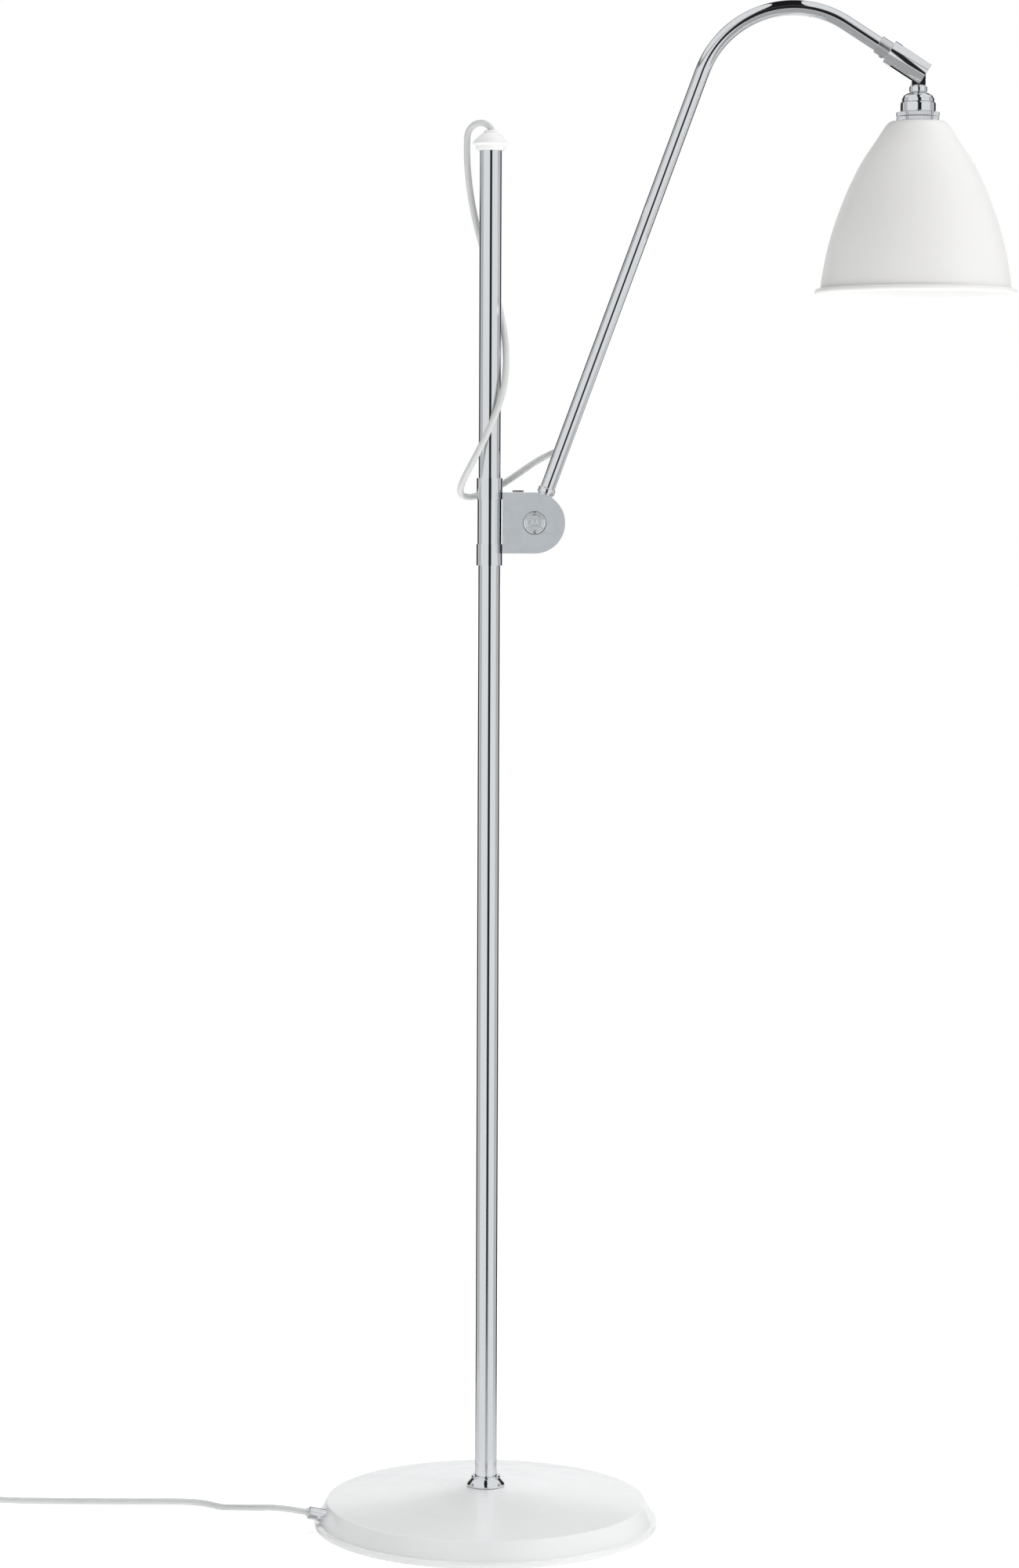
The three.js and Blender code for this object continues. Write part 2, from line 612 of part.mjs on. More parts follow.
piece('slide_sleeve', slideSleeve(), chrome);
piece('bracket_shell', bracketShell(), chrome);
piece('bracket_cover', bracketCover(), chrome);
coverScrewPlaces.forEach((place, i) => {
  const screw = joined(
    bar(COVER_SCREW_RADIUS, 2, housingRear - 0.6, 8),
    bar(COVER_SCREW_HEAD, housingRear - 0.9, housingRear + 0.2, COARSE),
  );
  piece(`cover_screw_${i + 1}`, aimed(screw, place, BACK), steel);
});
piece('collar_screw',
  aimed(bar(COLLAR_SCREW_RADIUS, sleeveRadius + GAP, collarRadius + 1.4, 8), collarScrewPlace, BACK), steel);
const tabLow = PIVOT_Z + HOUSING_RADIUS + GAP;
const tabFar = PIVOT_X - 9;
const tabNear = tabFar - TAB_LENGTH;
piece('slot_tab',
  block([tabNear, -TAB_WIDTH / 2, tabLow], [tabFar, TAB_WIDTH / 2, tabLow + TAB_THICKNESS]), steel);

const emblemRear = housingFront + EMBLEM_SEAT - GAP;
piece('emblem_cap', onPivot(bar(EMBLEM_RADIUS, housingFront - EMBLEM_PROUD, emblemRear, ROUND)), chrome);
const boltHead = housingFront + EMBLEM_SEAT;
piece('pivot_bolt', onPivot(joined(
  bar(PIVOT_HEAD_RADIUS, boltHead, boltHead + PIVOT_HEAD_THICKNESS, COARSE),
  bar(PIVOT_BOLT_RADIUS, boltHead, housingRear + PIVOT_NUT_THICKNESS + 1, COARSE),
)), steel);
piece('pivot_nut',
  onPivot(hexNut(PIVOT_NUT_RADIUS, PIVOT_BOLT_RADIUS + GAP, housingRear + GAP,
    housingRear + GAP + PIVOT_NUT_THICKNESS)), chrome);
const discRadius = cavityRadius - DISC_MARGIN;
const hubFace = HOUSING_THICKNESS / 2 - FRONT_WALL - HUB_ROOM;
const pivotBore = PIVOT_BOLT_RADIUS + GAP;
piece('friction_disc_front',
  onPivot(tube(discRadius, pivotBore, -hubFace - GAP - DISC_THICKNESS, -hubFace - GAP, ROUND)), blackFibre);
piece('friction_disc_rear',
  onPivot(tube(discRadius, pivotBore, hubFace + GAP, hubFace + GAP + DISC_THICKNESS, ROUND)), blackFibre);
piece('spring_washer', onPivot(turned([
  [pivotBore, hubFace + 2 * GAP + DISC_THICKNESS + 0.7],
  [9, hubFace + 2 * GAP + DISC_THICKNESS],
  [9, hubFace + 2 * GAP + DISC_THICKNESS + 0.7],
  [pivotBore, hubFace + 2 * GAP + DISC_THICKNESS + 1.4],
  [pivotBore, hubFace + 2 * GAP + DISC_THICKNESS + 0.7],
], COARSE)), steel);

// ---------------------------------------------------------------------------------------------------
// Arm
// ---------------------------------------------------------------------------------------------------
const lean = radians(ARM_LEAN);
const droop = radians(ARM_DROOP);
const armDirection = v3(Math.sin(lean), 0, Math.cos(lean));
const endDirection = v3(Math.cos(droop), 0, -Math.sin(droop));
const alongArm = (distance) => pivot.clone().addScaledVector(armDirection, distance);
const bendStart = alongArm(ARM_STRAIGHT);
const bendCentre = bendStart.clone().add(
  v3(Math.cos(lean), 0, -Math.sin(lean)).multiplyScalar(ARM_BEND_RADIUS),
);
const bendEnd = bendCentre.clone().add(
  v3(Math.sin(droop), 0, Math.cos(droop)).multiplyScalar(ARM_BEND_RADIUS),
);
const alongEnd = (distance) => bendEnd.clone().addScaledVector(endDirection, distance);

const BEND_STEPS = 18;
const ARM_STEPS = BEND_STEPS + 2; // one more for each straight stretch

/** The arm's centre line: straight, a round bend in the X-Z plane, and a straight end, one step each. */
class ArmLine extends THREE.Curve {
  constructor(start, end) {
    super();
    this.start = start;
    this.end = end;
  }

  getPoint(t, target = new THREE.Vector3()) {
    const step = t * ARM_STEPS;
    if (step <= 1) return target.copy(alongArm(THREE.MathUtils.lerp(this.start, ARM_STRAIGHT, step)));
    if (step >= ARM_STEPS - 1) return target.copy(alongEnd(this.end * (step - ARM_STEPS + 1)));
    const turn = ((step - 1) / BEND_STEPS) * (Math.PI / 2 - lean + droop);
    const angle = Math.PI - lean - turn;
    const reach = v3(Math.cos(angle), 0, Math.sin(angle)).multiplyScalar(ARM_BEND_RADIUS);
    return target.copy(bendCentre).add(reach);
  }

  /** Keeps the steps where getPoint puts them, in place of even lengths. */
  getUtoTmapping(u) {
    return u;
  }
}

/** The bent tube, with a side hole for the grommet. */
function armTube() {
  const body = swept(new ArmLine(ARM_ROOT, ARM_TAIL), ARM_RADIUS, ARM_STEPS, COARSE, ARM_RADIUS - ARM_WALL);
  const holeRadius = CORD_RADIUS + 1.2 + GAP;
  const hole = aimed(bar(holeRadius, 0, 2 * ARM_RADIUS, COARSE), alongArm(GROMMET_DISTANCE), BACK);
  return cut(body, hole);
}

/** The disc that turns between the friction discs and holds the arm's root. */
function armHub() {
  return cut(
    onPivot(bar(cavityRadius - 2 * GAP, -hubFace, hubFace, 40)),
    onPivot(bar(pivotBore, -2 * hubFace, 2 * hubFace, COARSE)),
    aimed(bar(ARM_RADIUS + GAP, ARM_ROOT - GAP, HOUSING_RADIUS, COARSE), pivot, armDirection),
  );
}

piece('arm_hub', armHub(), steel);
piece('arm_tube', armTube(), chrome);
piece('arm_root_ring',
  aimed(tube(ROOT_RING_RADIUS, ARM_RADIUS + GAP, ROOT_RING_START, ROOT_RING_START + ROOT_RING_LENGTH),
    pivot, armDirection), chrome);
const leadLine = new ArmLine(GROMMET_DISTANCE + 4, ARM_TAIL - 4);
piece('arm_lead', swept(leadLine, CORD_RADIUS, ARM_STEPS, 8), clearVinyl);
const grommetSeat = alongArm(GROMMET_DISTANCE);
piece('arm_grommet', aimed(turned([
  [CORD_RADIUS + GAP, ARM_RADIUS - 0.4],
  [CORD_RADIUS + 1.2, ARM_RADIUS - 0.4],
  [CORD_RADIUS + 1.2, ARM_RADIUS + GAP],
  [GROMMET_RADIUS, ARM_RADIUS + GAP],
  [GROMMET_RADIUS, ARM_RADIUS + 1.6],
  [CORD_RADIUS + 1.1, ARM_RADIUS + 3.4],
  [CORD_RADIUS + GAP, ARM_RADIUS + 3.4],
  [CORD_RADIUS + GAP, ARM_RADIUS - 0.4],
], COARSE), grommetSeat, BACK), clearVinyl);

// ---------------------------------------------------------------------------------------------------
// Knuckle
// ---------------------------------------------------------------------------------------------------
const collarEnd = END_COLLAR_START + END_COLLAR_LENGTH;
const barrelStart = collarEnd + GAP;
const barrelEnd = barrelStart + BARREL_LENGTH;
const pinPlace = alongEnd(barrelStart + PIN_DISTANCE);
const onEnd = (geometry) => aimed(geometry, bendEnd, endDirection);
const setScrewDirection = v3(-Math.sin(droop), 0, -Math.cos(droop));
const setScrewPlace = alongEnd(collarEnd - 3.2);
const setScrewRadius = 1.5;

piece('arm_end_collar', cut(
  onEnd(bar(END_COLLAR_RADIUS, END_COLLAR_START, collarEnd, ROUND)),
  onEnd(bar(ARM_RADIUS + GAP, END_COLLAR_START - 1, ARM_TAIL + GAP, ROUND)),
  onEnd(bar(SPIGOT_RADIUS + GAP, END_COLLAR_START, collarEnd + 1, ROUND)),
  aimed(bar(setScrewRadius + GAP, 0, END_COLLAR_RADIUS + 2, 8), setScrewPlace, setScrewDirection),
), chrome);
piece('end_set_screw',
  aimed(
    bar(setScrewRadius, SPIGOT_RADIUS + GAP, END_COLLAR_RADIUS + 0.6, 8),
    setScrewPlace,
    setScrewDirection,
  ),
  steel);

/** The slotted barrel with its spigot, bored across for the pin. */
function knuckleBarrel() {
  const body = onEnd(turned([
    [0, barrelStart - SPIGOT_LENGTH],
    [SPIGOT_RADIUS, barrelStart - SPIGOT_LENGTH],
    [SPIGOT_RADIUS, barrelStart],
    [BARREL_RADIUS - BARREL_CHAMFER, barrelStart],
    [BARREL_RADIUS, barrelStart + BARREL_CHAMFER],
    [BARREL_RADIUS, barrelEnd - BARREL_CHAMFER],
    [BARREL_RADIUS - BARREL_CHAMFER, barrelEnd],
    [0, barrelEnd],
  ]));
  const half = TONGUE_THICKNESS / 2 + GAP;
  const fork = block([-20, -half, barrelEnd - FORK_DEPTH], [20, half, barrelEnd + 5]);
  const boreFront = PIN_COVER - GAP - BARREL_RADIUS;
  return cut(
    body,
    onEnd(fork),
    aimed(bar(PIN_RADIUS + GAP, boreFront, BARREL_RADIUS + 2, COARSE), pinPlace, BACK),
  );
}

/** The cross pin, blind at the front and threaded for the nut behind. */
function knucklePin() {
  return aimed(bar(PIN_RADIUS, PIN_COVER - BARREL_RADIUS, BARREL_RADIUS + 1.65, COARSE), pinPlace, BACK);
}

piece('knuckle_barrel', knuckleBarrel(), chrome);
piece('knuckle_pin', knucklePin(), steel);
piece('knuckle_pin_nut',
  aimed(hexNut(PIN_RADIUS + 1.8, PIN_RADIUS + GAP, BARREL_RADIUS + GAP, BARREL_RADIUS + GAP + 1.6),
    pinPlace, BACK), chrome);

// ---------------------------------------------------------------------------------------------------
// Head: everything that hangs from the cross pin
// ---------------------------------------------------------------------------------------------------
const below = (depth) => pinPlace.z - depth;
const inHead = (geometry) => geometry.translate(pinPlace.x, 0, 0);
const beadLow = BEAD_TOP + BEAD_HEIGHT;
const capDepth = beadLow + GAP;
const capBottom = capDepth + HOLDER_CAP_HEIGHT;
const sleeveTop = capBottom + GAP;
const sleeveBottom = sleeveTop + HOLDER_SLEEVE_HEIGHT;
const upperRingTop = sleeveBottom + GAP;
const lowerRingTop = upperRingTop + SHADE_RING_HEIGHT + GAP;
const shadeTop = lowerRingTop + SHADE_RING_HEIGHT + GAP;
const ringBore = HOLDER_RADIUS + GAP;

/** Flat tongue with a round eye, and the threaded stem under it. */
function shadeStem() {
  const half = TONGUE_THICKNESS / 2;
  const eye = aimed(bar(TONGUE_WIDTH / 2, -half, half, ROUND), pinPlace, BACK);
  const tongue = block(
    [pinPlace.x - TONGUE_WIDTH / 2, -half, below(BEAD_TOP - GAP)],
    [pinPlace.x + TONGUE_WIDTH / 2, half, below(0)],
  );
  const stem = inHead(bar(STEM_RADIUS, below(STEM_LENGTH), below(BEAD_TOP - 1), COARSE));
  const eyeHole = aimed(bar(PIN_RADIUS + GAP, -half - 1, half + 1, COARSE), pinPlace, BACK);
  const wireWay = inHead(bar(STEM_RADIUS - 2, below(STEM_LENGTH + 1), below(BEAD_TOP - 4), COARSE));
  return cut(joined(eye, tongue, stem), eyeHole, wireWay);
}

piece('shade_stem', shadeStem(), chrome);
piece('stem_nut', inHead(turned([
  [STEM_RADIUS + GAP, below(beadLow)],
  [BEAD_RADIUS - 1, below(beadLow)],
  [BEAD_RADIUS, below(beadLow - 1.4)],
  [BEAD_RADIUS, below(BEAD_TOP + 1.4)],
  [BEAD_RADIUS - 1, below(BEAD_TOP)],
  [STEM_RADIUS + GAP, below(BEAD_TOP)],
  [STEM_RADIUS + GAP, below(beadLow)],
])), chrome);
piece('holder_cap', inHead(turned([
  [STEM_RADIUS + GAP, below(capDepth)],
  [STEM_RADIUS + GAP, below(capDepth + 1.2)],
  [HOLDER_CAP_RADIUS - 3.6, below(capDepth + 2.4)],
  [HOLDER_CAP_RADIUS - 1.2, below(capDepth + 4.8)],
  [HOLDER_CAP_RADIUS - 1.2, below(capBottom)],
  [HOLDER_CAP_RADIUS, below(capBottom)],
  [HOLDER_CAP_RADIUS, below(capDepth + 4.4)],
  [HOLDER_CAP_RADIUS - 1.1, below(capDepth + 2.2)],
  [HOLDER_CAP_RADIUS - 4, below(capDepth + 0.5)],
  [HOLDER_CAP_RADIUS - 6, below(capDepth)],
  [STEM_RADIUS + GAP, below(capDepth)],
])), chrome);
piece('holder_sleeve', inHead(turned([
  [ringBore, below(sleeveTop + 1.6)],
  [ringBore, below(sleeveBottom)],
  [HOLDER_SLEEVE_RADIUS, below(sleeveBottom)],
  [HOLDER_SLEEVE_RADIUS, below(sleeveTop + 1.2)],
  [HOLDER_SLEEVE_RADIUS - 1, below(sleeveTop)],
  [ringBore - 1, below(sleeveTop)],
  [ringBore - 1, below(sleeveTop + 1.6)],
  [ringBore, below(sleeveTop + 1.6)],
])), chrome);
const shadeRing = (radius, top) => inHead(turned([
  [ringBore, below(top + SHADE_RING_HEIGHT)],
  [radius - 0.5, below(top + SHADE_RING_HEIGHT)],
  [radius, below(top + SHADE_RING_HEIGHT - 0.5)],
  [radius, below(top + 0.5)],
  [radius - 0.5, below(top)],
  [ringBore, below(top)],
  [ringBore, below(top + SHADE_RING_HEIGHT)],
]));
piece('shade_ring_upper', shadeRing(SHADE_RING_RADIUS, upperRingTop), chrome);
piece('shade_ring_lower', shadeRing(SHADE_RING_RADIUS - 0.3, lowerRingTop), chrome);

const holderBottom = sleeveTop + 2 + HOLDER_LENGTH;
piece('holder_body', inHead(turned([
  [STEM_RADIUS + GAP, below(sleeveTop + 1.9 + GAP)],
  [ringBore - 1, below(sleeveTop + 1.9 + GAP)],
  [HOLDER_RADIUS, below(sleeveTop + 3.2)],
  [HOLDER_RADIUS, below(holderBottom)],
  [HOLDER_BORE, below(holderBottom)],
  [HOLDER_BORE, below(sleeveTop + 12)],
  [STEM_RADIUS + GAP, below(sleeveTop + 12)],
  [STEM_RADIUS + GAP, below(sleeveTop + 1.9 + GAP)],
])), whitePlastic);
const insertTop = sleeveTop + 14;
piece('holder_insert', inHead(tube(HOLDER_BORE - GAP, BULB_BASE_RADIUS + GAP, below(holderBottom - 3),
  below(insertTop), COARSE)), brass);
piece('shade_retaining_ring', inHead(tube(HOLDER_RADIUS + 5, ringBore, below(shadeTop + SHADE_WALL + GAP + 4),
  below(shadeTop + SHADE_WALL + GAP))), whitePlastic);

piece('holder_contact', inHead(bar(3, below(insertTop + 1.6), below(insertTop), COARSE)), brass);
const bulbTop = insertTop + 1.6 + GAP;
const bulbBaseLow = bulbTop + BULB_BASE_LENGTH;
const bulbBottom = bulbTop + BULB_LENGTH;
piece('bulb_base', inHead(bar(BULB_BASE_RADIUS, below(bulbBaseLow), below(bulbTop), COARSE)), brass);

/** The round glass with a short neck. */
function bulbGlass() {
  const neck = BULB_BASE_RADIUS - 0.4;
  const centre = bulbBottom - BULB_RADIUS;
  const neckAngle = Math.asin(neck / BULB_RADIUS) * 1.5;
  const bands = 8;
  const arc = Array.from({ length: bands + 1 }, (_, i) => {
    const angle = Math.PI - (i * (Math.PI - neckAngle)) / bands;
    return [BULB_RADIUS * Math.sin(angle), below(centre - BULB_RADIUS * Math.cos(angle))];
  });
  arc[0][0] = 0;
  const top = bulbBaseLow + GAP;
  return turned([...arc, [neck, below(top)], [0, below(top)]], ROUND);
}
piece('bulb_glass', inHead(bulbGlass()), opalGlass);

/** The bell: plateau, round shoulder, straight flank and flare to the rolled rim. */
function shade() {
  const depth = SHADE_HEIGHT - SHADE_BEAD;
  const outline = new THREE.CatmullRomCurve3([
    v3(SHADE_PLATEAU_RADIUS, 0, 0),
    v3(25.4, 3.2, 0),
    v3(33.8, 16.2, 0),
    v3(43.6, 31, 0),
    v3(53.2, 50, 0),
    v3(62.2, 72.4, 0),
    v3(69.4, 95.6, 0),
    v3(74, 117.5, 0),
    v3(SHADE_MOUTH_RADIUS, depth, 0),
  ]);
  const steps = 10;
  const outer = [];
  const inner = [];
  for (let i = 0; i <= steps; i += 1) {
    const point = outline.getPoint(i / steps);
    const tangent = outline.getTangent(i / steps);
    outer.push([point.x, below(shadeTop + point.y)]);
    inner.push([
      point.x - SHADE_WALL * Math.max(tangent.y, 0.2),
      below(shadeTop + point.y + SHADE_WALL * tangent.x),
    ]);
  }
  inner[0] = [SHADE_PLATEAU_RADIUS - 0.6, below(shadeTop + SHADE_WALL)];
  const rimCentre = [SHADE_MOUTH_RADIUS + SHADE_BEAD - SHADE_WALL / 2, below(shadeTop + depth)];
  const bead = [60, 15, -30, -75, -120, -165].map((angle) => [
    rimCentre[0] + SHADE_BEAD * Math.cos(radians(angle)),
    rimCentre[1] + SHADE_BEAD * Math.sin(radians(angle)),
  ]);
  const last = outer.pop();
  last[1] = rimCentre[1] + SHADE_BEAD;
  return turned([
    [ringBore, below(shadeTop)],
    ...outer,
    ...bead,
    ...inner.reverse().slice(1),
    [ringBore, below(shadeTop + SHADE_WALL)],
    [ringBore, below(shadeTop)],
  ], WIDE);
}
piece('shade', inHead(shade()), satinWhite);

// ---------------------------------------------------------------------------------------------------
// Upper cord: from the cap, once round the pole, behind the collar and into the back of the arm
// ---------------------------------------------------------------------------------------------------
const points = (list) => list.map(([x, y, z]) => v3(x, y, z));

/** Part of a longer curve, between two shares of its length. */
class Stretch extends THREE.Curve {
  constructor(whole, first, last) {
    super();
    this.whole = whole;
    this.first = first;
    this.last = last;
  }

  getPoint(t, target = new THREE.Vector3()) {
    return this.whole.getPointAt(THREE.MathUtils.lerp(this.first, this.last, t), target);
  }
}

/** A plain cord solid along part of a route, short of its neighbours by half a gap at each join. */
function cordSolid(route, from, to, steps) {
  const curve = new THREE.CatmullRomCurve3(route);
  curve.arcLengthDivisions = 600;
  const trim = GAP / 2 / curve.getLength();
  const first = from > 0 ? from + trim : 0;
  const last = to < 1 ? to - trim : 1;
  return swept(new Stretch(curve, first, last), CORD_RADIUS, steps, 8);
}

const cordEnd = grommetSeat.clone().add(v3(0, ARM_RADIUS + 3.4 + GAP, 0));
const upperCordRoute = [
  ...points([
    [-0.4, 0.2, 1128.7],
    [-2.3, 0.9, 1130.5],
    [-6.6, 2.5, 1132.4],
    [-11.7, 4.4, 1131.9],
    [-16, 5.9, 1128.7],
    [-18.4, 6.8, 1123.9],
    [-18.9, 7.4, 1115.4],
    [-18.9, 7.8, 1106],
    [-18.2, 8.3, 1094],
    [-16.6, 9.2, 1080],
    [-13.6, 10.6, 1063],
    [-9.2, 12, 1045],
    [-3.8, 12.9, 1026],
    [2.4, 12.8, 1006],
    [8, 10.8, 984],
    [11.7, 5.8, 963],
    [12.8, -1, 943],
    [10.8, -7.8, 922],
    [5.2, -12.2, 903],
    [-2.2, -13.4, 886],
    [-9.8, -12.6, 870.5],
    [-16.6, -9.8, 857.6],
    [-21.4, -4.9, 847.8],
    [-23.3, 1.4, 840.9],
    [-21.9, 8, 837],
    [-17, 13.4, 835.7],
    [-9, 16.4, 836.8],
    [0.6, 17.3, 840.4],
    [10.6, 17.4, 846.2],
    [20.6, 18, 852.8],
    [30, 19.4, 859.4],
    [38.6, 21, 865],
    [45.4, 21.6, 868.7],
    [51, 20.4, 871.3],
    [55, 17.2, 873],
    [57.2, 13.2, 874],
  ]),
  cordEnd,
];
const BRACKET_JOIN = 0.8; // share of the cord's length where it starts to follow the arm
piece('upper_cord_pole', cordSolid(upperCordRoute, 0, BRACKET_JOIN, 36), clearVinyl);
piece('upper_cord_arm', cordSolid(upperCordRoute, BRACKET_JOIN, 1, 10), clearVinyl);

// ---------------------------------------------------------------------------------------------------
// Mains cord: along the floor to the foot switch, then the stored coil and the plug
// ---------------------------------------------------------------------------------------------------
const cordFloor = CORD_RADIUS + 0.1;
const laneY = 54;
const switchCentre = v3(-480, laneY, 0);
const switchNear = switchCentre.x + SWITCH_LENGTH / 2;
const switchFar = switchCentre.x - SWITCH_LENGTH / 2;
const coilCentre = v3(-572, 25, 0);
const ferruleTip = ferruleSeat.clone().addScaledVector(ferruleDirection, reliefEnd + GAP);
const mainsRoute = [
  ferruleTip,
  ...points([
    [-153.2, -28.9, 17.8],
    [-161.1, -27.9, 18.6],
    [-168.6, -25.2, 18.6],
    [-175.4, -21, 17.8],
    [-181, -15.6, 16.2],
    [-190.2, -2.9, 12.9],
    [-199.3, 9.8, 9.6],
    [-208.3, 22.6, 6.3],
    [-212.9, 28.9, 4.6],
    [-217.5, 35.3, 3.2],
    [-222.9, 41.2, cordFloor],
    [-229.1, 46.2, cordFloor],
    [-236.1, 50, cordFloor],
    [-243.6, 52.8, cordFloor],
    [-252, 54.1, cordFloor],
    [-300, laneY, cordFloor],
    [-340, laneY, cordFloor],
    [-372, 54.4, cordFloor],
    [-398, 54.2, 3.2],
  ]),
  v3(switchNear + 20, laneY, 4.3),
  v3(switchNear + 8, laneY, 5.4),
  v3(switchNear + GAP, laneY, 5.6),
];
const coilOuter = COIL_TURN_RADIUS + COIL_COLUMNS * CORD_RADIUS;
const coilInner = COIL_TURN_RADIUS - COIL_COLUMNS * CORD_RADIUS;
const coilTop = 2 * CORD_RADIUS * COIL_LAYERS;
const linkRoute = [
  v3(switchFar - GAP, laneY, 5.6),
  v3(switchFar - 4, laneY + 0.2, 5.5),
  v3(switchFar - 10, laneY + 1.1, 5.1),
  v3(switchFar - 16, laneY + 2.9, 4.6),
];
const plugNeck = v3(coilCentre.x + 38, coilCentre.y - coilOuter - 12.6, PLUG_THICKNESS / 2);
const tailRoute = [
  v3(coilCentre.x + 13.6, plugNeck.y + 10.6, 7.9),
  v3(coilCentre.x + 20, plugNeck.y + 6.4, 7.6),
  v3(coilCentre.x + 26, plugNeck.y + 2.8, 7.2),
  v3(coilCentre.x + 32, plugNeck.y + 0.6, 6.9),
  v3(plugNeck.x - GAP, plugNeck.y, plugNeck.z),
];
piece('mains_cord_run', cordSolid(mainsRoute, 0, 1, 30), clearVinyl);
piece('mains_cord_link', cordSolid(linkRoute, 0, 1, 8), clearVinyl);
piece('mains_cord_tail', cordSolid(tailRoute, 0, 1, 6), clearVinyl);
piece('mains_coil',
  tube(coilOuter, coilInner, 0.05, coilTop, 24).translate(coilCentre.x, coilCentre.y, 0), clearVinyl);

/** Foot switch: lower tray, cover with a round well, and the button that travels in it. */
const switchMiddle = SWITCH_BASE_HEIGHT;
const switchTop = switchMiddle + GAP + SWITCH_COVER_HEIGHT;
const onSwitch = (geometry) => geometry.translate(switchCentre.x, switchCentre.y, 0);
const wellFloor = switchTop - BUTTON_TRAVEL - 3;
piece('switch_base', onSwitch(roundedSlab(SWITCH_LENGTH, SWITCH_WIDTH, 14, 0, switchMiddle)), whitePlastic);
piece('switch_cover', onSwitch(cut(
  joined(
    roundedSlab(SWITCH_LENGTH, SWITCH_WIDTH, 14, switchMiddle + GAP, switchTop - 3),
    roundedSlab(SWITCH_LENGTH - 6, SWITCH_WIDTH - 6, 11, switchMiddle + GAP, switchTop),
  ),
  bar(BUTTON_RADIUS + GAP, wellFloor, switchTop + 1, ROUND),
)), whitePlastic);
piece('switch_button', onSwitch(turned([
  [0, wellFloor + BUTTON_TRAVEL + GAP],
  [BUTTON_RADIUS, wellFloor + BUTTON_TRAVEL + GAP],
  [BUTTON_RADIUS, switchTop + BUTTON_PROUD - 1.5],
  [BUTTON_RADIUS - 2, switchTop + BUTTON_PROUD],
  [0, switchTop + BUTTON_PROUD],
])), whitePlastic);

/** Flat two-pin plug lying beside the coil, its pins pointing away. */
const onPlug = (geometry) => geometry.translate(plugNeck.x, plugNeck.y, 0);
const plugFace = 8 + PLUG_LENGTH;
const neck = aimed(turned([
  [0, 0],
  [CORD_RADIUS + 0.8, 0],
  [CORD_RADIUS + 2.6, 10],
  [0, 10],
], COARSE), v3(0, 0, PLUG_THICKNESS / 2), v3(1, 0, 0));
const plugSlab = roundedSlab(PLUG_LENGTH, PLUG_WIDTH, 8, 0, PLUG_THICKNESS)
  .translate(8 + PLUG_LENGTH / 2, 0, 0);
const plugPins = [1, -1].map((side) => aimed(
  bar(PLUG_PIN_RADIUS, -2, PLUG_PIN_LENGTH, 8),
  v3(plugFace, (side * PLUG_PIN_SPACING) / 2, PLUG_THICKNESS / 2),
  v3(1, 0, 0),
));
piece('plug', onPlug(joined(neck, plugSlab, ...plugPins)), whitePlastic);

export default lamp;
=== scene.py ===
"""Arc floor lamp: the looks, cords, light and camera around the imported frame.

Sizes inside the classes are in millimetres, and a mesh is scaled to metres when it is made.
+Z is up, +X points from the pole towards the shade, and the origin is on the floor.
"""

import logging
import math
from collections.abc import Callable, Sequence
from dataclasses import dataclass, field
from enum import Enum

import bmesh
import bpy
from mathutils import Matrix, Vector


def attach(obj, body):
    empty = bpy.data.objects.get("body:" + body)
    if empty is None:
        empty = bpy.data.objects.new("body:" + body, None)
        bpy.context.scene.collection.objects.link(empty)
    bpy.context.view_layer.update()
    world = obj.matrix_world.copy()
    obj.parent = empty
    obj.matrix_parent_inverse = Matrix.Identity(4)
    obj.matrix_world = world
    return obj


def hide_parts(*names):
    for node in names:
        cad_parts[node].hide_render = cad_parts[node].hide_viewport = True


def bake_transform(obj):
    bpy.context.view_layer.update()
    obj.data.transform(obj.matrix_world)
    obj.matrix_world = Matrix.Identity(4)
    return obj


logging.basicConfig(level=logging.INFO, format="%(message)s")
LOG = logging.getLogger("lamp")

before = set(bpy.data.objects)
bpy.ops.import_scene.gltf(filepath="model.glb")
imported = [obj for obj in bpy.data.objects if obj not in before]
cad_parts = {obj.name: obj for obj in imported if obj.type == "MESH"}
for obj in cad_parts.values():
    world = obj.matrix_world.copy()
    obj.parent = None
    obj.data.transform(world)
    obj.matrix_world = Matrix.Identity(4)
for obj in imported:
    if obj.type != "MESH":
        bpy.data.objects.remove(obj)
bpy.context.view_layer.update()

MM = 0.001  # metres in a millimetre
TURN = 2 * math.pi
CORD_DIAMETER = 5.2
Ring = tuple[float, float]  # radius and height of a lathe point
Corner = tuple[float, float, float]  # radius, height and fillet of a lathe corner
Point = tuple[float, float, float]


# ---------------------------------------------------------------------------------------------------
# Finishes
# ---------------------------------------------------------------------------------------------------
class Grain(Enum):
    """How a finish's fine texture runs."""

    EVEN = (1.0, 1.0, 1.0)
    DRAWN = (9.0, 9.0, 0.25)  # long marks up the part, as on drawn tube
    TURNED = (0.25, 0.25, 14.0)  # fine rings round an upright part


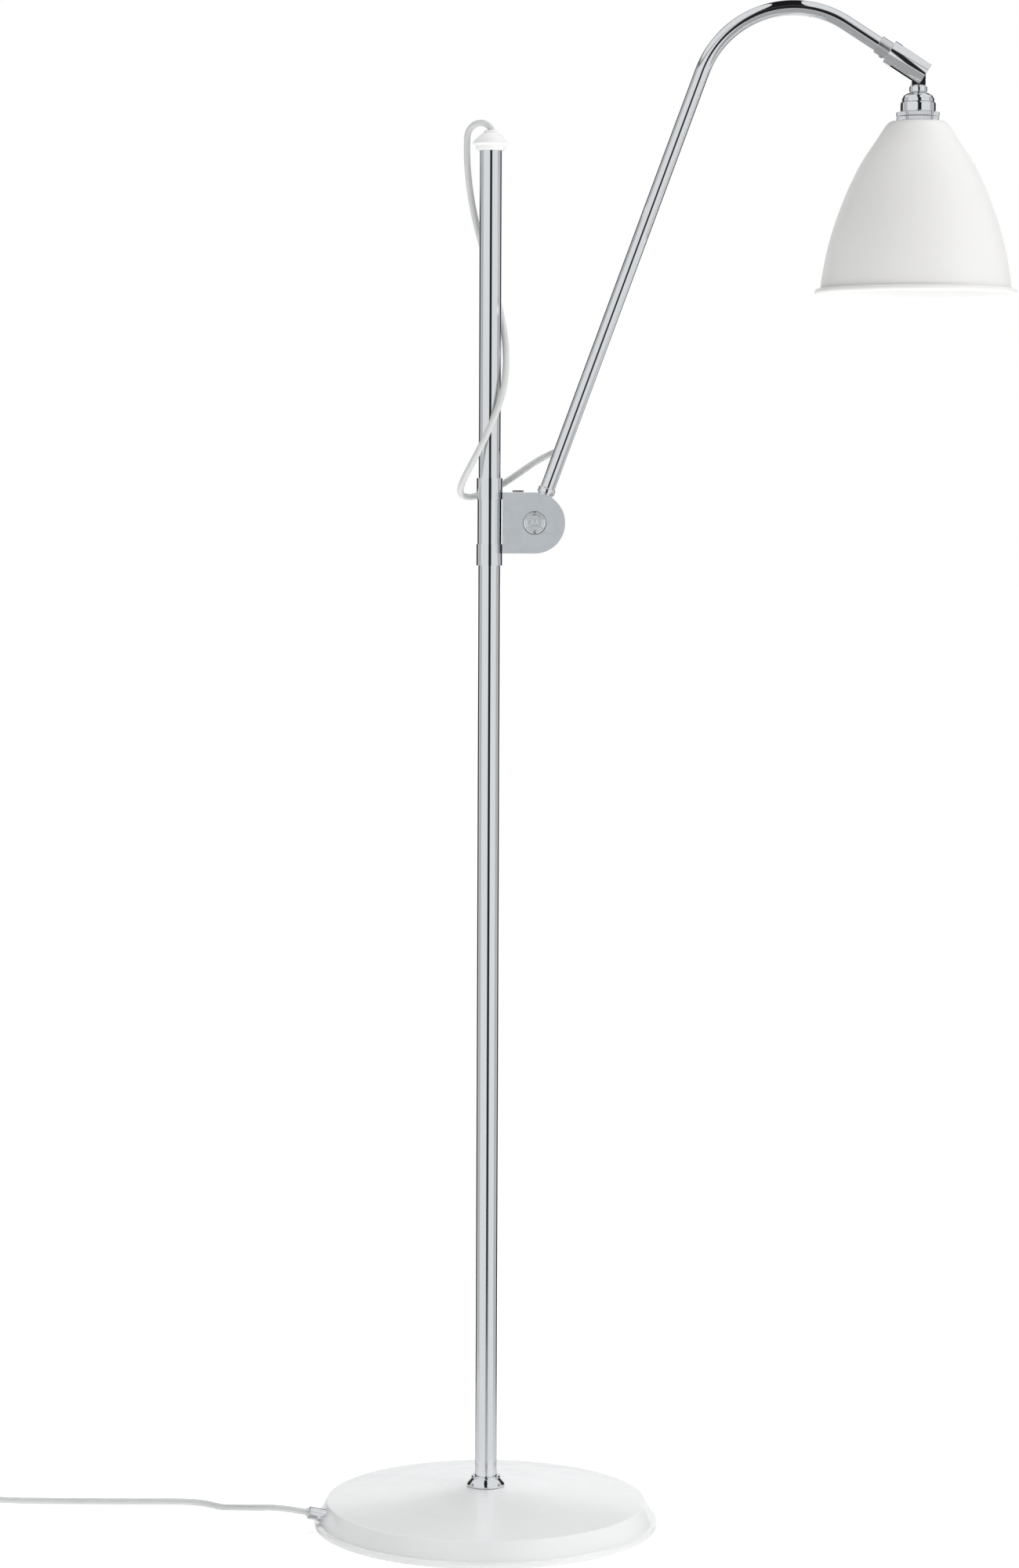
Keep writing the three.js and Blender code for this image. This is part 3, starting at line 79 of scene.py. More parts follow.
@dataclass(frozen=True)
class Finish:
    """A surface finish: a Principled surface with noise in its colour, roughness and relief.

    Every pattern reads Object coordinates, in metres.
    """

    name: str
    slot: str
    colour: Point
    second: Point
    metallic: float = 0.0
    roughness: float = 0.4
    roughness_spread: float = 0.06
    grain: Grain = Grain.EVEN
    scale: float = 60.0
    relief: float = 0.02
    relief_scale: float = 900.0
    coat: float = 0.0
    subsurface: float = 0.0
    transmission: float = 0.0
    specular: float = 0.5
    fade: tuple[float, float, float] | None = None  # low height, high height, extra roughness at the foot

    def build(self) -> bpy.types.Material:
        """Makes the material, or returns it where it has been made.

        Returns:
            The material of this finish.
        """
        known = bpy.data.materials.get(self.name)
        if known:
            return known
        material = bpy.data.materials.new(self.name)
        material.use_nodes = True
        nodes, links = material.node_tree.nodes, material.node_tree.links
        shader = nodes["Principled BSDF"]
        shader.inputs["Metallic"].default_value = self.metallic
        shader.inputs["Coat Weight"].default_value = self.coat
        shader.inputs["Coat Roughness"].default_value = 0.08
        shader.inputs["Subsurface Weight"].default_value = self.subsurface
        shader.inputs["Subsurface Radius"].default_value = (0.004, 0.004, 0.004)
        shader.inputs["Transmission Weight"].default_value = self.transmission
        shader.inputs["Specular IOR Level"].default_value = self.specular
        place = nodes.new("ShaderNodeTexCoord")
        mapping = nodes.new("ShaderNodeMapping")
        mapping.inputs["Scale"].default_value = self.grain.value
        links.new(place.outputs["Object"], mapping.inputs["Vector"])

        cloud = self._noise(nodes, links, mapping, self.scale, 5.0)
        tint = nodes.new("ShaderNodeMix")
        tint.data_type = "RGBA"
        tint.inputs["A"].default_value = (*self.colour, 1)
        tint.inputs["B"].default_value = (*self.second, 1)
        links.new(cloud.outputs["Fac"], tint.inputs["Factor"])
        links.new(tint.outputs["Result"], shader.inputs["Base Color"])

        haze = self._noise(nodes, links, mapping, self.scale * 3.1, 3.0)
        spread = nodes.new("ShaderNodeMapRange")
        spread.inputs["From Min"].default_value = 0.3
        spread.inputs["From Max"].default_value = 0.7
        spread.inputs["To Min"].default_value = max(0.0, self.roughness - self.roughness_spread)
        spread.inputs["To Max"].default_value = self.roughness + self.roughness_spread
        links.new(haze.outputs["Fac"], spread.inputs["Value"])
        rough = spread.outputs["Result"]
        if self.fade:
            rough = self._faded(nodes, links, place, rough)
        links.new(rough, shader.inputs["Roughness"])

        grit = self._noise(nodes, links, mapping, self.relief_scale, 2.0)
        bump = nodes.new("ShaderNodeBump")
        bump.inputs["Strength"].default_value = self.relief
        bump.inputs["Distance"].default_value = 0.0002
        links.new(grit.outputs["Fac"], bump.inputs["Height"])
        links.new(bump.outputs["Normal"], shader.inputs["Normal"])
        return material

    @staticmethod
    def _noise(nodes: bpy.types.Nodes, links: bpy.types.NodeLinks, mapping: bpy.types.Node, scale: float,
               detail: float) -> bpy.types.Node:
        """Adds a noise texture that reads the mapping, and returns its node."""
        noise = nodes.new("ShaderNodeTexNoise")
        noise.inputs["Scale"].default_value = scale
        noise.inputs["Detail"].default_value = detail
        links.new(mapping.outputs["Vector"], noise.inputs["Vector"])
        return noise

    def _faded(self, nodes: bpy.types.Nodes, links: bpy.types.NodeLinks, place: bpy.types.Node,
               rough: bpy.types.NodeSocket) -> bpy.types.NodeSocket:
        """Adds roughness towards the foot of a tall part.

        Args:
            nodes: The material's nodes.
            links: The material's links.
            place: The texture coordinate node.
            rough: The socket of the roughness so far.

        Returns:
            The socket of the roughness with the fade added.
        """
        low, high, extra = self.fade
        parts = nodes.new("ShaderNodeSeparateXYZ")
        links.new(place.outputs["Object"], parts.inputs["Vector"])
        fall = nodes.new("ShaderNodeMapRange")
        fall.inputs["From Min"].default_value = low
        fall.inputs["From Max"].default_value = high
        fall.inputs["To Min"].default_value = extra
        fall.inputs["To Max"].default_value = 0.0
        links.new(parts.outputs["Z"], fall.inputs["Value"])
        total = nodes.new("ShaderNodeMath")
        total.operation = "ADD"
        links.new(rough, total.inputs[0])
        links.new(fall.outputs["Result"], total.inputs[1])
        return total.outputs["Value"]


CHROME = Finish("polished_chrome", "chrome", (0.86, 0.87, 0.885), (0.83, 0.845, 0.865), 1.0, 0.022, 0.012,
                scale=45, relief=0.002, relief_scale=700)
TUBE_CHROME = Finish("drawn_chrome_tube", "chrome", (0.87, 0.88, 0.895), (0.835, 0.85, 0.87), 1.0, 0.026,
                     0.014, Grain.DRAWN, 30, 0.003, 300, fade=(0.05, 0.55, 0.11))
TURNED_CHROME = Finish("turned_chrome", "chrome", (0.87, 0.88, 0.895), (0.835, 0.85, 0.87), 1.0, 0.03, 0.012,
                       Grain.TURNED, 60, 0.003, 260)
COLLAR_CHROME = Finish("brushed_collar", "chrome", (0.80, 0.81, 0.82), (0.72, 0.73, 0.74), 1.0, 0.27, 0.05,
                       Grain.TURNED, 80, 0.05, 320)
SATIN_CHROME = Finish("satin_chrome_face", "chrome", (0.70, 0.74, 0.77), (0.65, 0.69, 0.72), 0.55, 0.40, 0.05,
                      scale=70, relief=0.03, relief_scale=1500)
STEEL = Finish("zinc_plated_steel", "steel", (0.62, 0.63, 0.65), (0.50, 0.51, 0.52), 1.0, 0.32, 0.08,
               scale=120, relief=0.05)
BRASS = Finish("plain_brass", "brass", (0.78, 0.62, 0.32), (0.66, 0.50, 0.24), 1.0, 0.28, 0.08, scale=90)
CAST_IRON = Finish("rough_cast_iron", "cast_iron", (0.16, 0.16, 0.165), (0.08, 0.08, 0.085), 0.5, 0.7, 0.1,
                   scale=150, relief=0.7, relief_scale=450)
LACQUER = Finish("gloss_white_lacquer", "white_lacquer", (0.92, 0.925, 0.93), (0.885, 0.89, 0.895), 0.0, 0.22,
                 0.04, scale=14, relief=0.035, relief_scale=420, coat=0.15)
ENAMEL = Finish("satin_white_enamel", "satin_white", (0.83, 0.825, 0.81), (0.795, 0.79, 0.775), 0.0, 0.40,
                0.05, scale=26, relief=0.06, relief_scale=1300)
ENAMEL_INSIDE = Finish("matt_white_inside", "satin_white", (0.86, 0.86, 0.85), (0.82, 0.82, 0.81), 0.0, 0.62,
                       0.06, scale=30, relief=0.08, relief_scale=1100)
CAP_VINYL = Finish("frosted_vinyl_cap", "clear_vinyl", (0.88, 0.885, 0.88), (0.83, 0.835, 0.83), 0.0, 0.42,
                   0.05, scale=80, relief=0.01, relief_scale=1200, subsurface=0.1)
VINYL = Finish("milky_vinyl", "clear_vinyl", (0.70, 0.715, 0.705), (0.62, 0.64, 0.63), 0.0, 0.34, 0.05,
               scale=90, relief=0.008, relief_scale=1500, subsurface=0.25)
PLASTIC = Finish("moulded_white_plastic", "white_plastic", (0.85, 0.85, 0.84), (0.80, 0.80, 0.79), 0.0, 0.38,
                 0.05, scale=60, relief=0.10, relief_scale=1800)
FIBRE = Finish("pressed_fibre", "fibre", (0.10, 0.09, 0.08), (0.05, 0.045, 0.04), 0.0, 0.85, 0.08,
               scale=300, relief=0.5, relief_scale=1200)
FELT = Finish("dense_felt", "felt", (0.10, 0.10, 0.105), (0.045, 0.045, 0.05), 0.0, 0.95, 0.04,
              scale=500, relief=0.9, relief_scale=2200)
OPAL = Finish("opal_glass", "opal_glass", (0.88, 0.87, 0.85), (0.85, 0.84, 0.82), 0.0, 0.14, 0.03,
              scale=40, relief=0.01, coat=0.3, subsurface=0.4)


# ---------------------------------------------------------------------------------------------------
# Mesh helpers
# ---------------------------------------------------------------------------------------------------
def soften(corners: Sequence[Corner], closed: bool = True, steps: int = 4) -> list[Ring]:
    """Rounds the corners of a lathe outline.

    Args:
        corners: Radius, height and fillet radius of each corner.
        closed: True if the last corner joins the first.
        steps: Arc steps at each rounded corner.

    Returns:
        The outline as radius and height pairs.
    """
    out: list[Ring] = []
    count = len(corners)
    for i, (x, y, fillet) in enumerate(corners):
        if fillet <= 0 or (not closed and i in (0, count - 1)):
            out.append((x, y))
            continue
        corner = Vector((x, y))
        before = Vector(corners[i - 1][:2]) - corner
        after = Vector(corners[(i + 1) % count][:2]) - corner
        half = before.angle(after) / 2
        reach = min(fillet / math.tan(half), 0.49 * before.length, 0.49 * after.length)
        radius = reach * math.tan(half)
        bisector = (before.normalized() + after.normalized()).normalized()
        centre = corner + bisector * (radius / math.sin(half))
        first = corner + before.normalized() * reach - centre
        last = corner + after.normalized() * reach - centre
        start = math.atan2(first.y, first.x)
        turn = (math.atan2(last.y, last.x) - start + math.pi) % TURN - math.pi
        for k in range(steps + 1):
            angle = start + turn * k / steps
            out.append((centre.x + radius * math.cos(angle), centre.y + radius * math.sin(angle)))
    return out


def arc(centre: Ring, radius: float, start: float, end: float, steps: int) -> list[Ring]:
    """Points along an arc, its angles in degrees from the outward direction."""
    angles = [math.radians(start + (end - start) * k / steps) for k in range(steps + 1)]
    return [(centre[0] + radius * math.cos(a), centre[1] + radius * math.sin(a)) for a in angles]


def lathe(outline: Sequence[Ring], sides: int = 96, closed: bool = True,
          start: float = 0.0, sweep: float = TURN) -> bmesh.types.BMesh:
    """Turns an outline about Z into a closed shell.

    Args:
        outline: Radius and height pairs; a radius of 0 is a point on the axis.
        sides: Steps round the axis.
        closed: True if the last point joins the first.
        start: First angle, in radians.
        sweep: Angle turned; less than a full turn leaves two flat ends.

    Returns:
        The shell, with its faces pointing out.
    """
    mesh = bmesh.new()
    full = sweep > TURN - 1e-6
    steps = sides if full else sides + 1
    rings: list[list[bmesh.types.BMVert]] = []
    for radius, height in outline:
        if radius < 1e-6:
            rings.append([mesh.verts.new((0, 0, height))])
            continue
        angles = [start + sweep * k / sides for k in range(steps)]
        rings.append([mesh.verts.new((radius * math.cos(a), radius * math.sin(a), height)) for a in angles])
    pairs = list(zip(rings, rings[1:]))
    if closed:
        pairs.append((rings[-1], rings[0]))
    for low, high in pairs:
        for k in range(sides):
            after = (k + 1) % steps
            corners = [low[k % len(low)], low[after % len(low)], high[after % len(high)], high[k % len(high)]]
            corners = list(dict.fromkeys(corners))
            if len(corners) > 2:
                mesh.faces.new(corners)
    if not full:
        mesh.faces.new([ring[0] for ring in rings])
        mesh.faces.new([ring[-1] for ring in rings])
    bmesh.ops.remove_doubles(mesh, verts=mesh.verts, dist=1e-4)
    bmesh.ops.recalc_face_normals(mesh, faces=mesh.faces)
    return mesh


def curve_points(points: Sequence[Vector], spacing: float = 1.5) -> list[Vector]:
    """Even points along a centripetal Catmull-Rom curve.

    Args:
        points: The points that the curve passes through.
        spacing: Distance from each point to the next, about.

    Returns:
        The evenly spaced points, from the first point to the last.
    """
    chain = [2 * points[0] - points[1], *points, 2 * points[-1] - points[-2]]
    fine: list[Vector] = []
    for p0, p1, p2, p3 in zip(chain, chain[1:], chain[2:], chain[3:]):
        d0, d1, d2 = ((b - a).length ** 0.5 for a, b in ((p0, p1), (p1, p2), (p2, p3)))
        m1 = ((p1 - p0) / d0 - (p2 - p0) / (d0 + d1) + (p2 - p1) / d1) * d1
        m2 = ((p2 - p1) / d1 - (p3 - p1) / (d1 + d2) + (p3 - p2) / d2) * d1
        for k in range(24):
            t = k / 24
            square = (3 * (p2 - p1) - 2 * m1 - m2) * t * t
            cube = (2 * (p1 - p2) + m1 + m2) * t ** 3
            fine.append(p1 + m1 * t + square + cube)
    fine.append(points[-1].copy())
    return even_points(fine, spacing)


def even_points(line: Sequence[Vector], spacing: float) -> list[Vector]:
    """Even points along a line of straight steps, ends kept."""
    reach = [0.0]
    for a, b in zip(line, line[1:]):
        reach.append(reach[-1] + (b - a).length)
    count = max(2, round(reach[-1] / spacing))
    out, i = [], 0
    for k in range(count + 1):
        want = reach[-1] * k / count
        while i < len(line) - 2 and reach[i + 1] < want:
            i += 1
        share = (want - reach[i]) / max(reach[i + 1] - reach[i], 1e-9)
        out.append(line[i].lerp(line[i + 1], min(max(share, 0), 1)))
    return out


def line_length(line: Sequence[Vector]) -> float:
    """Length of a line of straight steps."""
    return sum((b - a).length for a, b in zip(line, line[1:]))


def sweep(path: Sequence[Vector], radius: float, sides: int = 20, bore: float = 0.0) -> bmesh.types.BMesh:
    """Sweeps a round section along a path, as a solid or a tube with a wall.

    Args:
        path: Centre points.
        radius: Outer radius.
        sides: Sides of the section.
        bore: Inner radius; 0 makes a solid with flat ends.

    Returns:
        The closed shell, with its length and angle as UV.
    """
    mesh = bmesh.new()
    uv = mesh.loops.layers.uv.new("UVMap")
    tangents = [(path[min(i + 1, len(path) - 1)] - path[max(i - 1,
                                                            0)]).normalized() for i in range(len(path))]
    side = tangents[0].orthogonal().normalized()
    frames = []
    for i, tangent in enumerate(tangents):
        if i:
            side = (tangents[i - 1].rotation_difference(tangent) @ side)
            side = (side - tangent * side.dot(tangent)).normalized()
        frames.append((side.copy(), tangent.cross(side)))

    def ring(size: float, i: int) -> list[bmesh.types.BMVert]:
        """One ring of the section at a path point."""
        u, v = frames[i]
        angles = [TURN * k / sides for k in range(sides)]
        return [mesh.verts.new(path[i] + size * (u * math.cos(a) + v * math.sin(a))) for a in angles]

    shells = [[ring(radius, i) for i in range(len(path))]]
    if bore:
        shells.append([ring(bore, i) for i in range(len(path))])
    for rings in shells:
        along = 0.0
        for i, (a, b) in enumerate(zip(rings, rings[1:])):
            step = (path[i + 1] - path[i]).length * MM
            for k in range(sides):
                face = mesh.faces.new((a[k], a[(k + 1) % sides], b[(k + 1) % sides], b[k]))
                for loop, (x, y) in zip(face.loops, ((0, k), (0, k + 1), (1, k + 1), (1, k))):
                    loop[uv].uv = (along + x * step, y / sides)
            along += step
    for end in (0, -1):
        if bore:
            outer, inner = shells[0][end], shells[1][end]
            for k in range(sides):
                mesh.faces.new((outer[k], outer[(k + 1) % sides], inner[(k + 1) % sides], inner[k]))
        else:
            mesh.faces.new(shells[0][end])
    bmesh.ops.recalc_face_normals(mesh, faces=mesh.faces)
    return mesh


def slab(outline: Sequence[Ring], low: float, high: float) -> bmesh.types.BMesh:
    """Extrudes a flat outline from one height to another."""
    mesh = bmesh.new()
    bottom = [mesh.verts.new((x, y, low)) for x, y in outline]
    top = [mesh.verts.new((x, y, high)) for x, y in outline]
    mesh.faces.new(bottom)
    mesh.faces.new(top)
    for k in range(len(outline)):
        after = (k + 1) % len(outline)
        mesh.faces.new((bottom[k], bottom[after], top[after], top[k]))
    bmesh.ops.recalc_face_normals(mesh, faces=mesh.faces)
    return mesh


def box_outline(length: float, width: float, radius: float, steps: int = 8) -> list[Ring]:
    """A rectangle with round corners, about the origin."""
    half_x, half_y = length / 2 - radius, width / 2 - radius
    out: list[Ring] = []
    for k, (sx, sy) in enumerate(((1, 1), (-1, 1), (-1, -1), (1, -1))):
        out += arc((sx * half_x, sy * half_y), radius, 90 * k, 90 * k + 90, steps)
    return out


def aim(origin: Vector, direction: Vector) -> Matrix:
    """The matrix that turns +Z to a direction and moves the origin to a point, with a fixed roll about it."""
    ahead = direction.normalized()
    level = Vector((0, 1, 0)) if abs(ahead.y) < 0.7 else Vector((0, 0, -1))
    side = level.cross(ahead).normalized()
    turn = Matrix((side, ahead.cross(side), ahead)).transposed().to_4x4()
    return Matrix.Translation(origin) @ turn


def placed(mesh: bmesh.types.BMesh, matrix: Matrix) -> bmesh.types.BMesh:
    """The same mesh, moved by a matrix."""
    mesh.transform(matrix)
    return mesh


def merged(*meshes: bmesh.types.BMesh) -> bmesh.types.BMesh:
    """Several shells in one mesh."""
    whole = meshes[0]
    for other in meshes[1:]:
        data = bpy.data.meshes.new("merge")
        other.to_mesh(data)
        other.free()
        whole.from_mesh(data)
        bpy.data.meshes.remove(data)
    return whole


def as_object(name: str, mesh: bmesh.types.BMesh) -> bpy.types.Object:
    """Puts a mesh in a linked object of its own, still in millimetres."""
    data = bpy.data.meshes.new(name)
    mesh.to_mesh(data)
    mesh.free()
    item = bpy.data.objects.new(name, data)
    bpy.context.scene.collection.objects.link(item)
    return item


def settle(item: bpy.types.Object) -> bpy.types.Object:
    """Applies an object's modifiers to its mesh and removes them."""
    bpy.context.view_layer.update()
    graph = bpy.context.evaluated_depsgraph_get()
    done = bpy.data.meshes.new_from_object(item.evaluated_get(graph))
    old = item.data
    item.modifiers.clear()
    item.data = done
    if old.users == 0:
        bpy.data.meshes.remove(old)
    return item


def carve(item: bpy.types.Object, cutters: Sequence[bmesh.types.BMesh],
          how: str = "DIFFERENCE") -> bpy.types.Object:
    """Cuts, joins or intersects an object with other shells.

    Args:
        item: The object that is changed.
        cutters: The shells, in millimetres.
        how: The boolean modifier's operation.

    Returns:
        The changed object.
    """
    tools = [as_object("cutter", cutter) for cutter in cutters]
    for tool in tools:
        modifier = item.modifiers.new("cut", "BOOLEAN")
        modifier.operation = how
        modifier.solver = "EXACT"
        modifier.object = tool
    settle(item)
    for tool in tools:
        data = tool.data
        bpy.data.objects.remove(tool)
        bpy.data.meshes.remove(data)
    return item


def bevelled(item: bpy.types.Object, width: float, segments: int = 3, angle: float = 32) -> bpy.types.Object:
    """Rounds an object's hard edges and evens its shading."""
    modifier = item.modifiers.new("edges", "BEVEL")
    modifier.width = width
    modifier.segments = segments
    modifier.limit_method = "ANGLE"
    modifier.angle_limit = math.radians(angle)
    modifier.use_clamp_overlap = True
    modifier.harden_normals = True
    for polygon in item.data.polygons:
        polygon.use_smooth = True
    return settle(item)


def hand_over(item: bpy.types.Object | bmesh.types.BMesh, name: str, body: str, finish: Finish,
              nodes: Sequence[str], others: Sequence[Finish] = (), sharp: float = 38) -> bpy.types.Object:
    """Finishes a piece: metres, material, smooth shading, its body and the CAD nodes it stands for.

    Args:
        item: The shell in millimetres, as a mesh or an object.
        name: The piece's name.
        body: The CAD body that it rides on.
        finish: Its finish.
        nodes: The CAD nodes that it replaces.
        others: Further finishes, for faces that use a second material.
        sharp: Edges sharper than this, in degrees, keep a hard shade.

    Returns:
        The finished piece.
    """
    if isinstance(item, bmesh.types.BMesh):
        item = as_object(name, item)
        for polygon in item.data.polygons:
            polygon.use_smooth = True
        item.data.set_sharp_from_angle(angle=math.radians(sharp))
    item.name = name
    item.data.transform(Matrix.Scale(MM, 4))
    item.data.materials.clear()
    for each in (finish, *others):
        item.data.materials.append(each.build())
    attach(item, body)
    if nodes:
        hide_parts(*nodes)
    LOG.info("piece %s on %s, %d faces", name, body, len(item.data.polygons))
    return item


# ---------------------------------------------------------------------------------------------------
# Geometry Nodes helpers
# ---------------------------------------------------------------------------------------------------
class Tree:
    """A geometry node tree with named inputs, made in code and used once by a modifier."""

    def __init__(self, name: str, finish: Finish, **inputs: float) -> None:
        """Starts a tree.

        Args:
            name: The tree's name.
            finish: The finish set on the result.
            **inputs: Name and value of each input; a whole number makes an integer socket.
        """
        self.group = bpy.data.node_groups.new(name, "GeometryNodeTree")
        self.finish = finish
        self.values: dict[str, float] = {}
        for key, value in inputs.items():
            kind = "NodeSocketInt" if isinstance(value, int) else "NodeSocketFloat"
            socket = self.group.interface.new_socket(key, in_out="INPUT", socket_type=kind)
            self.values[socket.identifier] = value
        self.group.interface.new_socket("Geometry", in_out="OUTPUT", socket_type="NodeSocketGeometry")
        self.given = self.group.nodes.new("NodeGroupInput")

    def add(self, kind: str, settings: dict[str, object] | None = None, **sockets: object) -> bpy.types.Node:
        """Adds a node, and sets or links its inputs.

        Args:
            kind: The node's type.
            settings: Properties of the node.
            **sockets: Input name, with underscores for spaces, and a value or an output socket.

        Returns:
            The node.
        """
        node = self.group.nodes.new(kind)
        for key, value in (settings or {}).items():
            setattr(node, key, value)
        for key, value in sockets.items():
            numbered = key[0] == "i" and key[1:].isdigit()
            socket = node.inputs[int(key[1:]) if numbered else key.replace("_", " ")]
            if isinstance(value, bpy.types.NodeSocket):
                self.group.links.new(value, socket)
            else:
                socket.default_value = value
        return node

    def math(self, operation: str, first: object, second: object = 0.0) -> bpy.types.NodeSocket:
        """Adds a math node and returns its result."""
        return self.add("ShaderNodeMath", {"operation": operation}, i0=first, i1=second).outputs[0]

    def socket(self, name: str) -> bpy.types.NodeSocket:
        """The named input, inside the tree."""
        return self.given.outputs[name]

    def mesh(self, geometry: bpy.types.NodeSocket) -> bpy.types.Object:
        """Ends the tree, runs it once and returns the result as a plain mesh object in millimetres."""
        real = self.add("GeometryNodeRealizeInstances", Geometry=geometry)
        dressed = self.add("GeometryNodeSetMaterial", Geometry=real.outputs["Geometry"],
                           Material=self.finish.build())
        end = self.group.nodes.new("NodeGroupOutput")
        self.group.links.new(dressed.outputs["Geometry"], end.inputs["Geometry"])
        item = as_object(self.group.name, bmesh.new())
        modifier = item.modifiers.new("grow", "NODES")
        modifier.node_group = self.group
        for identifier, value in self.values.items():
            modifier[identifier] = value
        settle(item)
        return item


def knurled_ring(name: str, radius: float, bore: float, height: float, ribs: int,
                 depth: float) -> bpy.types.Object:
    """A ring with a ribbed outer edge, about Z, its middle at height 0.

    Args:
        name: The tree's name.
        radius: Outer radius over the ribs.
        bore: Inner radius.
        height: Height of the ring.
        ribs: Number of ribs.
        depth: Depth of the grooves between them.

    Returns:
        The ring as an object in millimetres.
    """
    tree = Tree(name, TURNED_CHROME, Radius=float(radius), Bore=float(bore), Height=float(height),
                Ribs=int(ribs), Depth=float(depth))
    middle = tree.math("MULTIPLY", tree.math("ADD", tree.socket("Radius"), tree.socket("Bore")), 0.5)
    steps = tree.math("MULTIPLY", tree.socket("Ribs"), 6.0)
    circle = tree.add("GeometryNodeCurvePrimitiveCircle", Resolution=steps, Radius=middle)
    width = tree.math("SUBTRACT", tree.socket("Radius"), tree.socket("Bore"))
    section = tree.add("GeometryNodeCurvePrimitiveQuadrilateral", Width=width, Height=tree.socket("Height"))
    corner = tree.add("GeometryNodeFilletCurve", {"mode": "POLY"}, Curve=section.outputs["Curve"],
                      Radius=0.35, Count=3)
    ring = tree.add("GeometryNodeCurveToMesh", Curve=circle.outputs["Curve"],
                    Profile_Curve=corner.outputs["Curve"])
    place = tree.add("GeometryNodeInputPosition").outputs["Position"]
    parts = tree.add("ShaderNodeSeparateXYZ", Vector=place)
    angle = tree.math("ARCTAN2", parts.outputs["Y"], parts.outputs["X"])
    wave = tree.math("COSINE", tree.math("MULTIPLY", angle, tree.socket("Ribs")))
    groove = tree.math("MULTIPLY", tree.math("SUBTRACT", wave, 1.0),
                       tree.math("MULTIPLY", tree.socket("Depth"), 0.5))
    flat = tree.add("ShaderNodeCombineXYZ", X=parts.outputs["X"], Y=parts.outputs["Y"])
    reach = tree.add("ShaderNodeVectorMath", {"operation": "LENGTH"},
                     i0=flat.outputs["Vector"]).outputs["Value"]
    outer = tree.math("GREATER_THAN", reach, tree.math("ADD", middle, 0.3))
    push = tree.math("MULTIPLY", groove, outer)
    outward = tree.add("ShaderNodeVectorMath", {"operation": "NORMALIZE"}, i0=flat.outputs["Vector"])
    move = tree.add("ShaderNodeVectorMath", {"operation": "SCALE"}, i0=outward.outputs["Vector"], Scale=push)
    shaped = tree.add("GeometryNodeSetPosition", Geometry=ring.outputs["Mesh"], Offset=move.outputs["Vector"])
    item = tree.mesh(shaped.outputs["Geometry"])
    work = bmesh.new()
    work.from_mesh(item.data)
    bmesh.ops.remove_doubles(work, verts=work.verts, dist=1e-4)
    bmesh.ops.recalc_face_normals(work, faces=work.faces)
    work.to_mesh(item.data)
    work.free()
    for polygon in item.data.polygons:
        polygon.use_smooth = True
    item.data.set_sharp_from_angle(angle=math.radians(55))
    return item


def bead_wreath(name: str, finish: Finish, count: int, reach: float, size: float,
                stretch: float) -> bpy.types.Object:
    """A wreath of round petals about Z, each pointing outwards.

    Args:
        name: The tree's name.
        finish: The finish of the petals.
        count: Number of petals.
        reach: Radius of the circle that their middles lie on.
        size: Half width of a petal.
        stretch: Length of a petal over its width.

    Returns:
        The wreath as an object in millimetres.
    """
    tree = Tree(name, finish, Count=int(count), Reach=float(reach), Size=float(size), Stretch=float(stretch))
    ring = tree.add("GeometryNodeMeshCircle", Vertices=tree.socket("Count"), Radius=tree.socket("Reach"))
    petal = tree.add("GeometryNodeMeshUVSphere", Segments=14, Rings=8, Radius=tree.socket("Size"))
    place = tree.add("GeometryNodeInputPosition").outputs["Position"]
    turn = tree.add("FunctionNodeAlignRotationToVector", {"axis": "X"}, Vector=place)
    length = tree.add("ShaderNodeCombineXYZ", X=tree.socket("Stretch"), Y=1.0, Z=0.55)
    copies = tree.add("GeometryNodeInstanceOnPoints", Points=ring.outputs["Mesh"],
                      Instance=petal.outputs["Mesh"],
                      Rotation=turn.outputs["Rotation"], Scale=length.outputs["Vector"])
    return tree.mesh(copies.outputs["Instances"])


def rib_row(name: str, finish: Finish, count: int, pitch: float, size: Point) -> bpy.types.Object:
    """A row of small bars along X, about the origin.

    Args:
        name: The tree's name.
        finish: The finish of the bars.
        count: Number of bars.
        pitch: Distance from one to the next.
        size: Length, width and height of a bar.

    Returns:
        The row as an object in millimetres.
    """
    tree = Tree(name, finish, Count=int(count), Pitch=float(pitch), Length=float(size[0]),
                Width=float(size[1]), Height=float(size[2]))
    span = tree.math("MULTIPLY", tree.math("SUBTRACT", tree.socket("Count"), 1.0), tree.socket("Pitch"))
    first = tree.add("ShaderNodeCombineXYZ", X=tree.math("MULTIPLY", span, -0.5))
    step = tree.add("ShaderNodeCombineXYZ", X=tree.socket("Pitch"))
    line = tree.add("GeometryNodeMeshLine", Count=tree.socket("Count"),
                    Start_Location=first.outputs["Vector"],
                    Offset=step.outputs["Vector"])
    size_of = tree.add("ShaderNodeCombineXYZ", X=tree.socket("Length"), Y=tree.socket("Width"),
                       Z=tree.socket("Height"))
    bar = tree.add("GeometryNodeMeshCube", Size=size_of.outputs["Vector"])
    copies = tree.add("GeometryNodeInstanceOnPoints", Points=line.outputs["Mesh"],
                      Instance=bar.outputs["Mesh"])
    return tree.mesh(copies.outputs["Instances"])


